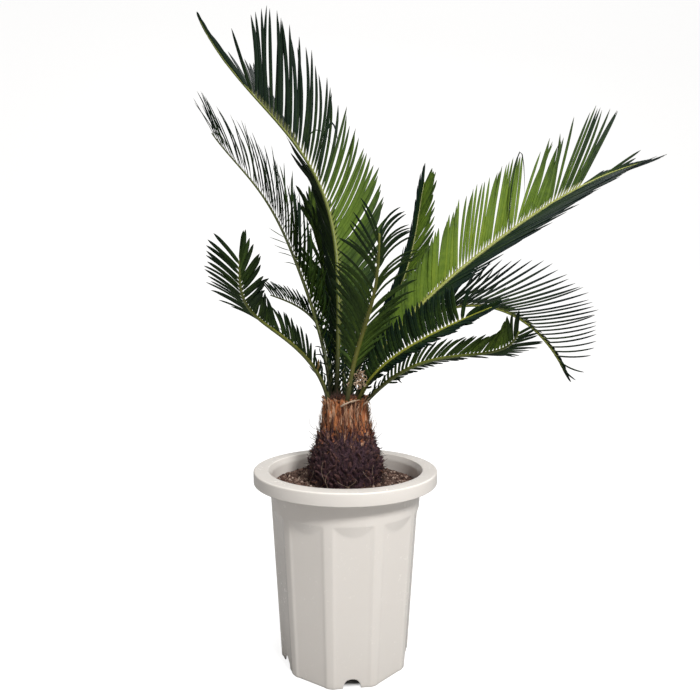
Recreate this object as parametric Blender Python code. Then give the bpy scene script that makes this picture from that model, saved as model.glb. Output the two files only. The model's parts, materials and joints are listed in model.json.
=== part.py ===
"""A potted sago palm: a swollen trunk with twelve feather fronds, standing in soil in a ribbed plastic pot.

Units are metres, +Z is up and -Y is the front. The origin is on the pot's axis, on the surface it stands on.
"""
import random
from math import ceil, cos, pi, radians, sin
from typing import NamedTuple

import bmesh
import bpy
import numpy as np
from mathutils import Vector
from mathutils.bvhtree import BVHTree

NAME = "potted_sago_palm"
SEED = 7
GAP = 0.0003                 # kept between pieces that touch

# Pot
RIM_RADIUS = 0.130
POT_HEIGHT = 0.2646
RIM_BAND = 0.017             # height of the rim's turned-down outer band
RIM_INNER = 0.1088           # radius of the rim's opening
RIM_THICK = 0.0027
EDGE = 0.0018                # height and width of the pot's softened edges
FOOT_RADIUS = 0.0904         # round cone that the ribs and the upper band lie on, at the foot
BODY_RADIUS = 0.1082         # the same cone under the rim
WALL = 0.0020
PANELS = 10
FIRST_RIB = radians(-138)    # direction of one rib, seen from above
RIB_HALF = radians(2.2)
RIB_FLANK = radians(1.6)     # sloping side of a rib
PANEL_DEPTH = 0.005
PANEL_TOP = 0.211            # where a panel's arched shoulder ends
SHOULDER = 0.019
FLOOR_UNDER = 0.0125         # raised floor
FLOOR_TOP = 0.0150
PAD_RADIUS = 0.019           # flat pad under the middle of the floor
SLOT_RADIUS = 0.012          # arched water slot in the bottom edge
SLOT_DROP = 0.0007           # its arc's middle lies this far under the edge
DRAIN_RADIUS = 0.005
DRAIN_CIRCLE = 0.050
HOLE_LENGTH = 0.030          # of what cuts the slots and drain holes

# Soil and trunk
SOIL_EDGE = 0.2415           # level of the soil at the wall
SOIL_CROWN = 0.2455          # and against the trunk
SOIL_MID = 0.080             # radius of the ridge between them
STUB_BOTTOM = 0.2003
STUB_RADIUS = 0.034
HOLE_CLEAR = 0.0013
TRUNK_TOP = 0.3620
CROWN_RISE = 0.006           # height of the dome that the fronds grow from
SCALES_ROUND = 20
SCALE_ROWS = 16
TRUNK_SHAPE = ((0.2450, 0.0495), (0.2700, 0.0500), (0.2850, 0.0470), (0.3030, 0.0395), (0.3200, 0.0352),
               (0.3400, 0.0308), (0.3620, 0.0290))

# Fronds
START_DEPTH = 0.012          # how far inside the crown a stalk starts
STALK_RADIUS = 0.0030
STALK_TIP = 0.0011
STALK_FLAT = 0.9             # its thickness as a share of its width
STALK_SIDES = 6
STALK_STEP = 0.026
LEAFLET_WIDTH = 0.0092
LEAFLET_THICK = 0.0013
ROOT_WIDTH = 0.42            # share of the leaflet's width at its root
ROOT_DEPTH = 0.2             # how far past the stalk's middle it starts, as a share of the stalk's radius
BLADE_PARTS = ((0.42, 0.5), (0.58, -1.0))    # share of its length, and its bend towards the stalk in curls
LEAST_ANGLE = 4              # between a leaflet and its stalk
LEAFLET_PITCH = 0.0245
LAST_LEAFLET = 0.985         # share of the stalk's length where the leaflets end
LEAFLET_CLEAR = 0.0012       # kept between leaflets of different fronds
SOCKET_LENGTH = 0.050


class Frond(NamedTuple):
    """One frond, by a few angles in degrees at even steps from its base to its tip."""

    base: tuple              # x and y of its foot, inside the crown
    length: float
    leans: tuple             # from upright, at the base, one third, two thirds and the tip
    headings: tuple          # compass direction of that lean, 0 is +X and 90 is +Y
    face: tuple              # (compass, height) that its upper face looks to, at the base and at the tip
    leaflet: float           # its longest leaflet
    fold: tuple              # how far its two ranks are raised out of one plane, at the base and at the tip
    forward: tuple           # (share of the leafy part, leaflets' angle to the stalk)
    sizes: tuple = ((0, 0.25), (0.15, 0.60), (0.35, 0.95), (0.55, 1.00), (0.80, 0.85), (1, 0.50))
    bare: float = 0.075      # stalk without leaflets
    curl: float = 8          # how far a leaflet bends on to its tip


FRONDS = {
    "frond_01": Frond((-0.015, 0.004), 0.669, (7, 13, 39, 26), (41, 115, 162, 197), ((-54, 0), (-38, 25)), 0.172,
                      (36, 36), ((0, 60), (0.2, 40), (0.5, 36), (0.80, 37), (0.84, 14), (1, 6)),
                      ((0, 0.2), (0.1, 0.5), (0.2, 0.74), (0.45, 1), (0.72, 0.97), (0.8, 0.72), (0.85, 0.4), (1, 0.2))),
    "frond_02": Frond((-0.0215, 0.0070), 0.573, (2, 29, 41, 46), (133, 133, 138, 225), ((-10, 30), (-10, 40)), 0.122,
                      (50, 50), ((0, 60), (0.5, 38), (0.8, 26), (1, 12))),
    "frond_03": Frond((-0.0225, -0.008), 0.278, (8, 48, 62, 15), (201, 211, 245, 292), ((20, 40), (80, 20)), 0.055,
                      (50, 2), ((0, 60), (0.4, 50), (0.7, 66), (1, 25)), bare=0.060),
    "frond_04": Frond((-0.0195, 0.0140), 0.216, (6, 22, 49, 57), (105, 117, 146, 187), ((0, 20), (0, 50)), 0.050,
                      (50, 50), ((0, 60), (0.5, 50), (1, 30)), bare=0.060),
    "frond_05": Frond((-0.009, 0.018), 0.398, (30, 23, 19, 33), (98, 106, 118, 142), ((-60, 10), (-60, 20)), 0.080,
                      (38, 38), ((0, 65), (0.5, 45), (1, 22))),
    "frond_06": Frond((-0.001, 0.024), 0.330, (14, 40, 52, 62), (96, 92, 88, 85), ((-90, 30), (-90, 60)), 0.085,
                      (38, 38), ((0, 65), (0.5, 50), (1, 25))),
    "frond_07": Frond((0.001, -0.021), 0.293, (23, 36, 53, 34), (281, 291, 278, 269), ((95, 30), (95, 40)), 0.085,
                      (30, 20), ((0, 60), (0.5, 50), (1, 25)), bare=0.060),
    "frond_08": Frond((0.005, 0.020), 0.424, (14, 38, 19, 23), (65, 40, 35, 31), ((-85, 10), (-85, 15)), 0.070,
                      (45, 45), ((0, 55), (0.5, 38), (1, 22))),
    "frond_09": Frond((0.010, 0.002), 0.628, (19, 48, 57, 78), (19, 11, 12, -4), ((-110, 20), (-112, 30)), 0.142,
                      (36, 36), ((0, 60), (0.2, 47), (0.5, 50), (0.85, 56), (0.9, 20), (1, 8)),
                      ((0, 0.2), (0.22, 0.63), (0.33, 0.85), (0.6, 1), (0.8, 0.92), (0.86, 0.7), (0.9, 0.35), (1, 0.15))),
    "frond_10": Frond((0.015, -0.013), 0.248, (22, 53, 65, 71), (303, 321, 324, 322), ((-110, 40), (-110, 40)),
                      0.058, (40, 40), ((0, 65), (0.75, 64), (0.85, 30), (1, 12)),
                      ((0, 0.4), (0.2, 0.9), (0.5, 1), (0.78, 0.75), (0.84, 0.4), (1, 0.25)), 0.050),
    "frond_11": Frond((0.015, 0.014), 0.506, (28, 60, 106, 150), (33, 25, 21, 15), ((200, 40), (10, 50)), 0.155,
                      (55, 50), ((0, 60), (0.3, 32), (0.5, 26), (0.7, 42), (0.85, 60), (0.95, 58), (1, 20)),
                      ((0, 0.25), (0.25, 0.7), (0.45, 1), (0.58, 0.92), (0.72, 0.76), (0.85, 0.6), (0.95, 0.34), (1, 0.2))),
    "frond_12": Frond((0.020, -0.004), 0.266, (44, 63, 84, 37), (349, 345, 326, 272), ((160, 40), (60, 40)), 0.052,
                      (42, 15), ((0, 65), (0.5, 45), (1, 40)), bare=0.050),
}


def clear_scene():
    for thing in list(bpy.data.objects):
        bpy.data.objects.remove(thing, do_unlink=True)


def material(name, colour, roughness):
    """A plain non-metal surface."""
    made = bpy.data.materials.new(name)
    made.use_nodes = True
    shader = made.node_tree.nodes["Principled BSDF"]
    shader.inputs["Base Color"].default_value = (*colour, 1)
    shader.inputs["Roughness"].default_value = roughness
    shader.inputs["Metallic"].default_value = 0
    return made


def loft_mesh(name, rings):
    """A closed body through rings of equal point count, each four-sided face split by its shorter diagonal.

    A ring of one point closes the end as a fan.
    """
    bm = bmesh.new()
    rows = [[bm.verts.new(point) for point in ring] for ring in rings]
    for low, high in zip(rows, rows[1:]):
        count = max(len(low), len(high))
        for i in range(count):
            j = (i + 1) % count
            corners = [low[i % len(low)], low[j % len(low)], high[j % len(high)], high[i % len(high)]]
            bm.faces.new(list(dict.fromkeys(corners)))
    for end in (rows[0], rows[-1]):
        if len(end) > 1:
            bm.faces.new(end)
    bmesh.ops.triangulate(bm, faces=bm.faces, quad_method="SHORT_EDGE")
    bmesh.ops.recalc_face_normals(bm, faces=bm.faces)
    mesh = bpy.data.meshes.new(name)
    bm.to_mesh(mesh)
    bm.free()
    return mesh


def put(name, mesh, collection, surface=None):
    made = bpy.data.objects.new(name, mesh)
    if surface:
        mesh.materials.append(surface)
    collection.objects.link(made)
    return made


def as_cutter(thing):
    thing.hide_render = True
    thing.display_type = "WIRE"
    return thing


def combine(target, operands, operation, solver="EXACT"):
    """Joins or cuts target with all operands in one Boolean, applies it and removes the operands."""
    group = bpy.data.collections.new(target.name + "_operands")
    bpy.context.scene.collection.children.link(group)
    for thing in operands:
        group.objects.link(as_cutter(thing))
    boolean = target.modifiers.new("combine", "BOOLEAN")
    boolean.operation = operation
    boolean.operand_type = "COLLECTION"
    boolean.collection = group
    boolean.solver = solver
    graph = bpy.context.evaluated_depsgraph_get()
    mesh = bpy.data.meshes.new_from_object(target.evaluated_get(graph))
    target.modifiers.clear()
    target.data = mesh
    for thing in operands:
        bpy.data.objects.remove(thing, do_unlink=True)
    bpy.data.collections.remove(group)


def keep_largest_body(thing):
    """Drops the loose scraps that a cut leaves, so that one body is left."""
    bm = bmesh.new()
    bm.from_mesh(thing.data)
    left, bodies = set(bm.faces), []
    while left:
        stack = [left.pop()]
        body = set(stack)
        while stack:
            for edge in stack.pop().edges:
                for face in edge.link_faces:
                    if face in left:
                        left.remove(face)
                        body.add(face)
                        stack.append(face)
        bodies.append(body)
    bodies.sort(key=len)
    scraps = [face for body in bodies[:-1] for face in body]
    bmesh.ops.delete(bm, geom=scraps, context="FACES")
    bm.to_mesh(thing.data)
    bm.free()


# Pot

def ring_angles():
    """Directions of a pot ring's points: both edges of each rib, both feet of its flanks, each panel's middle."""
    pitch = 2 * pi / PANELS
    steps = (RIB_HALF, RIB_HALF + RIB_FLANK, pitch / 2, pitch - RIB_HALF - RIB_FLANK, pitch - RIB_HALF)
    return [FIRST_RIB + pitch * panel + step for panel in range(PANELS) for step in steps]


def cone_radius(z):
    return FOOT_RADIUS + (BODY_RADIUS - FOOT_RADIUS) * z / POT_HEIGHT


def wall_radius(angle, z):
    """Radius of the pot's outer wall: a round cone, cut back to ten flat panels below the shoulder."""
    pitch = 2 * pi / PANELS
    from_rib = abs((angle - FIRST_RIB + pitch / 2) % pitch - pitch / 2)
    round_part = cone_radius(z)
    depth = PANEL_DEPTH * min(max((PANEL_TOP - z) / SHOULDER, 0), 1)
    flat_part = min(round_part, (round_part - depth) / cos(pitch / 2 - from_rib))
    blend = min(max((from_rib - RIB_HALF) / RIB_FLANK, 0), 1)
    return round_part + (flat_part - round_part) * blend


def wall_ring(z, inset=0.0):
    return [((wall_radius(a, z) - inset) * cos(a), (wall_radius(a, z) - inset) * sin(a), z) for a in ring_angles()]


def round_ring(radius, z):
    return [(radius * cos(a), radius * sin(a), z) for a in ring_angles()]


def pot_slots():
    """Arched slots in the bottom edge, at every other panel's middle."""
    pitch = 2 * pi / PANELS
    for i in range(1, PANELS, 2):
        angle = FIRST_RIB + pitch * (i + 0.5)
        place = (FOOT_RADIUS * cos(angle), FOOT_RADIUS * sin(angle), -SLOT_DROP)
        bpy.ops.mesh.primitive_cylinder_add(vertices=12, radius=SLOT_RADIUS, depth=HOLE_LENGTH, location=place,
                                            rotation=(0, pi / 2, angle))
        yield bpy.context.object


def pot_drains():
    pitch = 2 * pi / PANELS
    for i in range(0, PANELS, 2):
        angle = FIRST_RIB + pitch * (i + 0.5)
        place = (DRAIN_CIRCLE * cos(angle), DRAIN_CIRCLE * sin(angle), FLOOR_UNDER)
        bpy.ops.mesh.primitive_cylinder_add(vertices=8, radius=DRAIN_RADIUS, depth=HOLE_LENGTH, location=place)
        yield bpy.context.object


def make_pot(collection, surface):
    under_rim = POT_HEIGHT - RIM_THICK
    band_foot = POT_HEIGHT - RIM_BAND
    shoulder_foot = PANEL_TOP - SHOULDER
    shoulder_mid = PANEL_TOP - SHOULDER / 3
    rings = [
        [(0, 0, 0)],
        round_ring(PAD_RADIUS, 0),
        round_ring(PAD_RADIUS + EDGE, FLOOR_UNDER),
        wall_ring(FLOOR_UNDER, WALL),
        wall_ring(0, WALL),
        wall_ring(EDGE),
        wall_ring(shoulder_foot),
        wall_ring(shoulder_mid),
        wall_ring(PANEL_TOP),
        round_ring(cone_radius(under_rim), under_rim),
        round_ring(RIM_RADIUS - RIM_THICK, under_rim),
        round_ring(RIM_RADIUS - RIM_THICK, band_foot),
        round_ring(RIM_RADIUS - EDGE / 4, band_foot),
        round_ring(RIM_RADIUS, POT_HEIGHT - EDGE),
        round_ring(RIM_RADIUS - EDGE, POT_HEIGHT),
        round_ring(RIM_INNER, POT_HEIGHT),
        round_ring(cone_radius(under_rim) - WALL, under_rim),
        wall_ring(PANEL_TOP, WALL),
        wall_ring(shoulder_mid, WALL),
        wall_ring(shoulder_foot, WALL),
        wall_ring(FLOOR_TOP, WALL),
        [(0, 0, FLOOR_TOP)],
    ]
    pot = put("pot", loft_mesh("pot", rings), collection, surface)
    cutters = list(pot_slots()) + list(pot_drains())
    for cutter in cutters:
        for home in list(cutter.users_collection):
            home.objects.unlink(cutter)
    combine(pot, cutters, "DIFFERENCE")
    keep_largest_body(pot)
    return pot


# Soil and trunk

def trunk_radius(z):
    heights, radii = zip(*TRUNK_SHAPE)
    return float(np.interp(z, heights, radii))


def make_soil(collection, surface):
    inset = WALL + GAP
    foot = FLOOR_TOP + GAP
    rings = [
        [(0, 0, foot)],
        wall_ring(foot, inset),
        wall_ring(PANEL_TOP - SHOULDER, inset),
        wall_ring(PANEL_TOP - SHOULDER / 3, inset),
        wall_ring(PANEL_TOP, inset),
        wall_ring(SOIL_EDGE, inset),
        round_ring(SOIL_MID, (SOIL_EDGE + SOIL_CROWN) / 2),
        round_ring(trunk_radius(SOIL_CROWN) + HOLE_CLEAR, SOIL_CROWN),
        round_ring(STUB_RADIUS + HOLE_CLEAR, STUB_BOTTOM - GAP),
        [(0, 0, STUB_BOTTOM - GAP)],
    ]
    return put("soil", loft_mesh("soil", rings), collection, surface)


def scale_tip(height):
    """How far a scale's tip stands out and up: blunt leaf bases low down, long thin scale leaves at the crown."""
    out = np.interp(height, (0, 0.45, 0.55, 1), (0.0045, 0.0048, 0.0030, 0.0026))
    up = np.interp(height, (0, 0.45, 0.60, 0.9, 1), (0.002, 0.004, 0.011, 0.013, 0.017))
    return float(out), float(up)


def make_trunk(collection, surface):
    """Diamond scales in alternating rows round a turned body; each is raised to its own tip."""
    draw = random.Random(SEED)
    bottom, top = SOIL_CROWN + HOLE_CLEAR, TRUNK_TOP
    bm = bmesh.new()
    rows = []
    for i in range(SCALE_ROWS + 1):
        z = bottom + (top - bottom) * i / SCALE_ROWS
        turn = 0.5 * (i % 2)
        angles = [(j + turn) * 2 * pi / SCALES_ROUND for j in range(SCALES_ROUND)]
        radius = trunk_radius(z)
        rows.append([bm.verts.new((radius * cos(a), radius * sin(a), z)) for a in angles])
    for i in range(1, SCALE_ROWS):
        out, up = scale_tip(i / SCALE_ROWS)
        z = bottom + (top - bottom) * i / SCALE_ROWS
        for j in range(SCALES_ROUND):
            k = (j + 1) % SCALES_ROUND
            shared = j if i % 2 == 0 else k
            angle = (j + 0.5 + 0.5 * (i % 2)) * 2 * pi / SCALES_ROUND
            radius = trunk_radius(z) + out * draw.uniform(0.7, 1.25)
            tip = bm.verts.new((radius * cos(angle), radius * sin(angle), z + up * draw.uniform(0.8, 1.15)))
            corners = (rows[i - 1][shared], rows[i][k], rows[i + 1][shared], rows[i][j])
            for one, two in zip(corners, corners[1:] + corners[:1]):
                bm.faces.new((one, two, tip))
    for end, inner in ((0, 1), (SCALE_ROWS, SCALE_ROWS - 1)):
        for j in range(SCALES_ROUND):
            k = (j + 1) % SCALES_ROUND
            shared = j if end % 2 == 0 else k
            bm.faces.new((rows[end][j], rows[end][k], rows[inner][shared]))
    turn = 0.5 * (SCALE_ROWS % 2)
    crown = [(share * trunk_radius(top), top + (1 - share ** 2) * CROWN_RISE, turn) for share in (0.9, 0.5)]
    stub = [(trunk_radius(SOIL_CROWN) - HOLE_CLEAR, SOIL_CROWN, 0), (STUB_RADIUS, STUB_BOTTOM, 0)]
    for edge, rings, centre in ((rows[-1], crown, top + CROWN_RISE), (rows[0], stub, STUB_BOTTOM)):
        for radius, z, start in rings:
            angles = [(j + start) * 2 * pi / SCALES_ROUND for j in range(SCALES_ROUND)]
            ring = [bm.verts.new((radius * cos(a), radius * sin(a), z)) for a in angles]
            for j in range(SCALES_ROUND):
                k = (j + 1) % SCALES_ROUND
                bm.faces.new((edge[j], edge[k], ring[k], ring[j]))
            edge = ring
        middle = bm.verts.new((0, 0, centre))
        for j in range(SCALES_ROUND):
            bm.faces.new((edge[j], edge[(j + 1) % SCALES_ROUND], middle))
    bmesh.ops.recalc_face_normals(bm, faces=bm.faces)
    mesh = bpy.data.meshes.new("caudex")
    bm.to_mesh(mesh)
    bm.free()
    return put("caudex", mesh, collection, surface)


# Fronds

def direction(compass, height):
    compass, height = radians(compass), radians(height)
    return Vector((cos(height) * cos(compass), cos(height) * sin(compass), sin(height)))


class Stalk:
    """A frond's smooth stalk curve, with its direction and the way its upper face looks, by share of its length."""

    STEPS = 96

    def __init__(self, frond):
        self.frond = frond
        keys = (0, 1 / 3, 2 / 3, 1)
        lean = np.polyfit(keys, frond.leans, 3)
        heading = np.polyfit(keys, frond.headings, 3)
        self.points = [Vector((*frond.base, TRUNK_TOP - START_DEPTH))]
        self.ways = []
        for i in range(self.STEPS):
            share = (i + 0.5) / self.STEPS
            way = direction(np.polyval(heading, share), 90 - np.polyval(lean, share))
            self.ways.append(way)
            self.points.append(self.points[-1] + way * frond.length / self.STEPS)

    def at(self, share):
        """Place, direction along the stalk, direction its face looks, direction to its right."""
        x = min(max(share, 0), 1) * self.STEPS
        i = min(int(x), self.STEPS - 1)
        place = self.points[i].lerp(self.points[i + 1], x - i)
        way = self.ways[i]
        look = direction(*self.frond.face[0]).lerp(direction(*self.frond.face[1]), share)
        look = (look - way * look.dot(way)).normalized()
        return place, way, look, way.cross(look)

    def radius(self, share):
        return STALK_RADIUS + (STALK_TIP - STALK_RADIUS) * share ** 0.8


def stalk_mesh(name, stalk, reach=1.0, extra=0.0):
    """A six-sided tapering rod, a little flatter towards its face, as far as a share of its length."""
    count = max(ceil(stalk.frond.length / STALK_STEP), 3)
    rings = []
    for i in range(ceil(count * reach) + 1):
        share = i / count
        place, way, look, right = stalk.at(share)
        if i == 0:
            place = place - way * extra
        radius = stalk.radius(share) + extra
        turns = [2 * pi * j / STALK_SIDES for j in range(STALK_SIDES)]
        rings.append([place + right * radius * cos(t) + look * radius * STALK_FLAT * sin(t) for t in turns])
    return loft_mesh(name, rings)


def along_keys(keys, share):
    shares, values = zip(*keys)
    return float(np.interp(share, shares, values))


class Pose(NamedTuple):
    """How far a leaflet is bent away from its own place to clear a neighbour."""

    raise_by: float
    forward_by: float
    size: float


POSES = [Pose(r, f, s) for s in (1.0, 0.8, 0.6, 0.4) for f in (0, -12, 12, -25) for r in (0, 12, -12, 25, -25, 40)]


def leaflet_points(stalk, share, side, pose):
    """Middle line of a leaflet and the way its upper face looks: out of the stalk's flank, bending on to the tip."""
    frond = stalk.frond
    bare = frond.bare / frond.length
    leafy = (share - bare) / (1 - bare)
    place, way, look, right = stalk.at(share)
    fold = radians(frond.fold[0] + (frond.fold[1] - frond.fold[0]) * leafy + pose.raise_by)
    out = right * side * cos(fold) + look * sin(fold)
    face = look * cos(fold) - right * side * sin(fold)
    length = frond.leaflet * along_keys(frond.sizes, leafy) * pose.size
    angle = along_keys(frond.forward, leafy) + pose.forward_by
    start = place - out * stalk.radius(share) * ROOT_DEPTH
    points = [start]
    for length_share, bend in BLADE_PARTS:
        turned = radians(max(angle + bend * frond.curl, LEAST_ANGLE))
        points.append(points[-1] + (way * cos(turned) + out * sin(turned)) * length * length_share)
    return points, face


def leaflet_mesh(points, face, extra=0.0):
    """A blade of three sides, keeled below, widest at its middle point and pointed at its tip."""
    root, middle, tip = points
    rings = []
    for point, after, width in ((root, middle, ROOT_WIDTH), (middle, tip, 1)):
        way = (after - point).normalized()
        side = way.cross(face).normalized()
        half = side * (LEAFLET_WIDTH * width / 2 + extra)
        keel = side.cross(way) * (LEAFLET_THICK + extra)
        rings.append([point - half, point + half, point - keel])
    rings.append([tip + (tip - middle).normalized() * extra])
    return loft_mesh("leaflet", rings)


def tree_of(mesh):
    mesh.calc_loop_triangles()
    points = [vert.co for vert in mesh.vertices]
    return BVHTree.FromPolygons(points, [tuple(t.vertices) for t in mesh.loop_triangles])


def leaflet_shares(stalk):
    """Shares of the stalk's length where leaflets stand, right and left by turns so that ranks don't face."""
    frond = stalk.frond
    bare = frond.bare / frond.length
    count = round((frond.length - frond.bare) / LEAFLET_PITCH)
    for i in range(count):
        for side, shift in ((1, 0.0), (-1, 0.5)):
            yield bare + (LAST_LEAFLET - bare) * (i + shift + 0.25) / count, side


def clear_leaflet(stalk, share, side, others):
    """The first pose in which the leaflet clears every other piece, or None."""
    for pose in POSES:
        points, face = leaflet_points(stalk, share, side, pose)
        swollen = leaflet_mesh(points, face, LEAFLET_CLEAR)
        tree = tree_of(swollen)
        bpy.data.meshes.remove(swollen)
        if not any(tree.overlap(other) for other in others):
            return leaflet_mesh(points, face)
    return None


def make_fronds(collection, surface, trunk, standing):
    """Stalks first, then each frond's leaflets where they clear all that is there."""
    stalks = {name: Stalk(frond) for name, frond in FRONDS.items()}
    rods = {name: stalk_mesh(name, stalk) for name, stalk in stalks.items()}
    sockets = []
    for name, stalk in stalks.items():
        mesh = stalk_mesh(name + "_socket", stalk, SOCKET_LENGTH / stalk.frond.length, 2 * GAP)
        sockets.append(bpy.data.objects.new(name + "_socket", mesh))
    combine(trunk, sockets, "DIFFERENCE")
    keep_largest_body(trunk)
    trees = {thing.name: [tree_of(thing.data)] for thing in standing + [trunk]}
    trees.update({name: [tree_of(rod)] for name, rod in rods.items()})
    made = []
    for name, stalk in stalks.items():
        others = [tree for owner, owned in trees.items() if owner != name for tree in owned]
        leaflets = [clear_leaflet(stalk, share, side, others) for share, side in leaflet_shares(stalk)]
        leaflets = [mesh for mesh in leaflets if mesh]
        trees[name] += [tree_of(mesh) for mesh in leaflets]
        frond = put(name, rods[name], collection, surface)
        combine(frond, [bpy.data.objects.new("leaflet", mesh) for mesh in leaflets], "UNION", "MANIFOLD")
        keep_largest_body(frond)
        made.append(frond)
    return made


def main():
    clear_scene()
    collection = bpy.data.collections.new(NAME)
    bpy.context.scene.collection.children.link(collection)
    pot = make_pot(collection, material("white_plastic", (0.80, 0.78, 0.74), 0.3))
    soil = make_soil(collection, material("potting_soil", (0.12, 0.07, 0.045), 0.95))
    trunk = make_trunk(collection, material("caudex_bark", (0.16, 0.08, 0.045), 0.85))
    make_fronds(collection, material("frond_green", (0.05, 0.14, 0.03), 0.4), trunk, [pot, soil])


main()
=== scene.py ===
"""The looks of the potted sago palm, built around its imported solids.

Units are metres, +Z is up and -Y is the front, as in the solids' own frame.
"""
import json
from math import ceil, cos, pi, radians, sin, sqrt
from typing import NamedTuple

import bmesh
import bpy
import numpy as np
from mathutils import Matrix, Vector, noise
from mathutils.bvhtree import BVHTree

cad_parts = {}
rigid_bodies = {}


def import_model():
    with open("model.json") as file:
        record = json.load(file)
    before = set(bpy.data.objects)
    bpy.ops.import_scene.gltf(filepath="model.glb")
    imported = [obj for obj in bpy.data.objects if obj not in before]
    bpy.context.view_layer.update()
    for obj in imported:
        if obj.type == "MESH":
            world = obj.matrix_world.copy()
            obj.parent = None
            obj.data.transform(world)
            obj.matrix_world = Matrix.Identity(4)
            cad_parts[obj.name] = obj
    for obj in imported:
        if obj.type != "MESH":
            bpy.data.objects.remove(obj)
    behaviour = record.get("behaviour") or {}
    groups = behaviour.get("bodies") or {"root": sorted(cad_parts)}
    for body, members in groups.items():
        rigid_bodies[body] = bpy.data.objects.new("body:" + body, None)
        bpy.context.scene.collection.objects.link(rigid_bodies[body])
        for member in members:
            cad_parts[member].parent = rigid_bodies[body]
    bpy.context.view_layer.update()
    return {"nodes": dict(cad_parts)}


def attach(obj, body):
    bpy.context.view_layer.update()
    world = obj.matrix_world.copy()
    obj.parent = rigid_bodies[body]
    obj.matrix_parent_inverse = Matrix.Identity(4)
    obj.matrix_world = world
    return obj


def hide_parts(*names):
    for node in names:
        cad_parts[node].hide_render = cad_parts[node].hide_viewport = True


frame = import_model()
SEED = 7
MM = 0.001
GRAINS, FUZZ, WOOL, CURLS = 5200, 1700, 1500, 34
GOLDEN_TURN = pi * (3 - sqrt(5))
LOW_SPACE, HIGH_SPACE = 0.007 * 0.0062, 0.0066 ** 2  # the trunk's surface for each scale

# Pot, as in the solids
RIM_RADIUS = 0.13
POT_HEIGHT = 0.2646
RIM_BAND = 0.017
RIM_INNER = 0.1088
RIM_THICK = 0.0027
RIM_ROUND = 0.0024
FOOT_RADIUS = 0.0904
BODY_RADIUS = 0.1082
WALL = 0.002
PANELS = 10
PITCH = 2 * pi / PANELS
FIRST_RIB = radians(-138)
RIB_HALF = radians(2.2)
RIB_FLANK = radians(2.6)
PANEL_DEPTH = 0.0038
PANEL_TOP = 0.2145
LENS = 0.015  # how far below its straight upper edge the slope into a panel reaches
PANEL_ROUND = 0.0005
WALL_START = 0.0145  # the lowest ring of the wall that is level all round
FLOOR_UNDER = 0.0125
FLOOR_TOP = 0.015
PAD_RADIUS = 0.019
SLOT_RADIUS = 0.012
DRAIN_RADIUS = 0.005
DRAIN_CIRCLE = 0.05

# Soil and trunk, as in the solids
SOIL_EDGE = 0.2415
SOIL_CROWN = 0.2455
SOIL_MID = 0.08
STUB_BOTTOM = 0.2003
STUB_RADIUS = 0.034
TRUNK_TOP = 0.362
CROWN_RISE = 0.006
TRUNK_HEIGHTS = (0.245, 0.27, 0.285, 0.303, 0.32, 0.34, 0.362)
TRUNK_RADII = (0.0495, 0.05, 0.047, 0.0395, 0.0352, 0.0308, 0.029)
START_DEPTH = 0.012
TIP_LIMIT = 0.3655  # no trunk scale ends higher
STALK_ROOM = 0.0052  # what a scale or fibre keeps from the middle of a frond's stalk


# Meshes

def add_object(name, data):
    made = bpy.data.objects.new(name, data)
    bpy.context.scene.collection.objects.link(made)
    return made


class Pile:
    """Points and faces gathered for one mesh, with named numbers kept at each point."""

    def __init__(self):
        self.points, self.quads, self.tris, self.marks, self.count = [], [], [], {}, 0

    def add(self, points, quads, tris, slot=0, **marks):
        points = np.asarray(points, float).reshape(-1, 3)
        self.points.append(points)
        self.quads.append((np.asarray(quads, int).reshape(-1, 4) + self.count, slot))
        self.tris.append((np.asarray(tris, int).reshape(-1, 3) + self.count, slot))
        for key in dict.fromkeys((*marks, *self.marks)):
            filled = self.marks.setdefault(key, [np.zeros(self.count)])
            filled.append(np.broadcast_to(np.asarray(marks.get(key, 0.0), float), len(points)))
        self.count += len(points)

    def make(self, name, materials, smooth=True):
        points = np.concatenate(self.points)
        quads, tris = (np.concatenate([rows for rows, _ in kept]) for kept in (self.quads, self.tris))
        slots = np.concatenate([np.full(len(rows), slot) for rows, slot in self.quads + self.tris])
        loops = np.concatenate([quads.ravel(), tris.ravel()])
        starts = np.concatenate([np.arange(len(quads)) * 4, len(quads) * 4 + np.arange(len(tris)) * 3])
        mesh = bpy.data.meshes.new(name)
        mesh.vertices.add(len(points))
        mesh.loops.add(len(loops))
        mesh.polygons.add(len(starts))
        mesh.vertices.foreach_set("co", points.astype(np.float32).ravel())
        mesh.loops.foreach_set("vertex_index", loops.astype(np.int32))
        mesh.polygons.foreach_set("loop_start", starts.astype(np.int32))
        mesh.polygons.foreach_set("material_index", slots.astype(np.int32))
        mesh.polygons.foreach_set("use_smooth", np.full(len(starts), smooth))
        for key, parts in self.marks.items():
            values = np.concatenate(parts).astype(np.float32)
            mesh.attributes.new(key, "FLOAT", "POINT").data.foreach_set("value", values)
        mesh.update(calc_edges=True)
        for material in materials:
            mesh.materials.append(material)
        return add_object(name, mesh)


def tube_faces(rings, around):
    """Faces of a tube that is closed at each end by one more point, both of them after all the rings."""
    i, j = np.meshgrid(np.arange(rings - 1), np.arange(around), indexing="ij")
    a, b = i * around + j, i * around + (j + 1) % around
    quads = np.stack([a, b, b + around, a + around], -1).reshape(-1, 4)
    j = np.arange(around)
    after, last, end = (j + 1) % around, (rings - 1) * around, np.full(around, rings * around)
    first, final = np.stack([after, j, end], -1), np.stack([last + j, last + after, end + 1], -1)
    return quads, np.concatenate([first, final])


def unit(rows):
    rows = np.asarray(rows, float)
    return rows / np.maximum(np.linalg.norm(rows, axis=-1, keepdims=True), 1e-12)


def turn_about(rows, axes, angles):
    """Each row turned about its own unit axis."""
    angles = np.asarray(angles, float)[..., None]
    along = (rows * axes).sum(-1, keepdims=True) * axes
    return rows * np.cos(angles) + np.cross(axes, rows) * np.sin(angles) + along * (1 - np.cos(angles))


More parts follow.
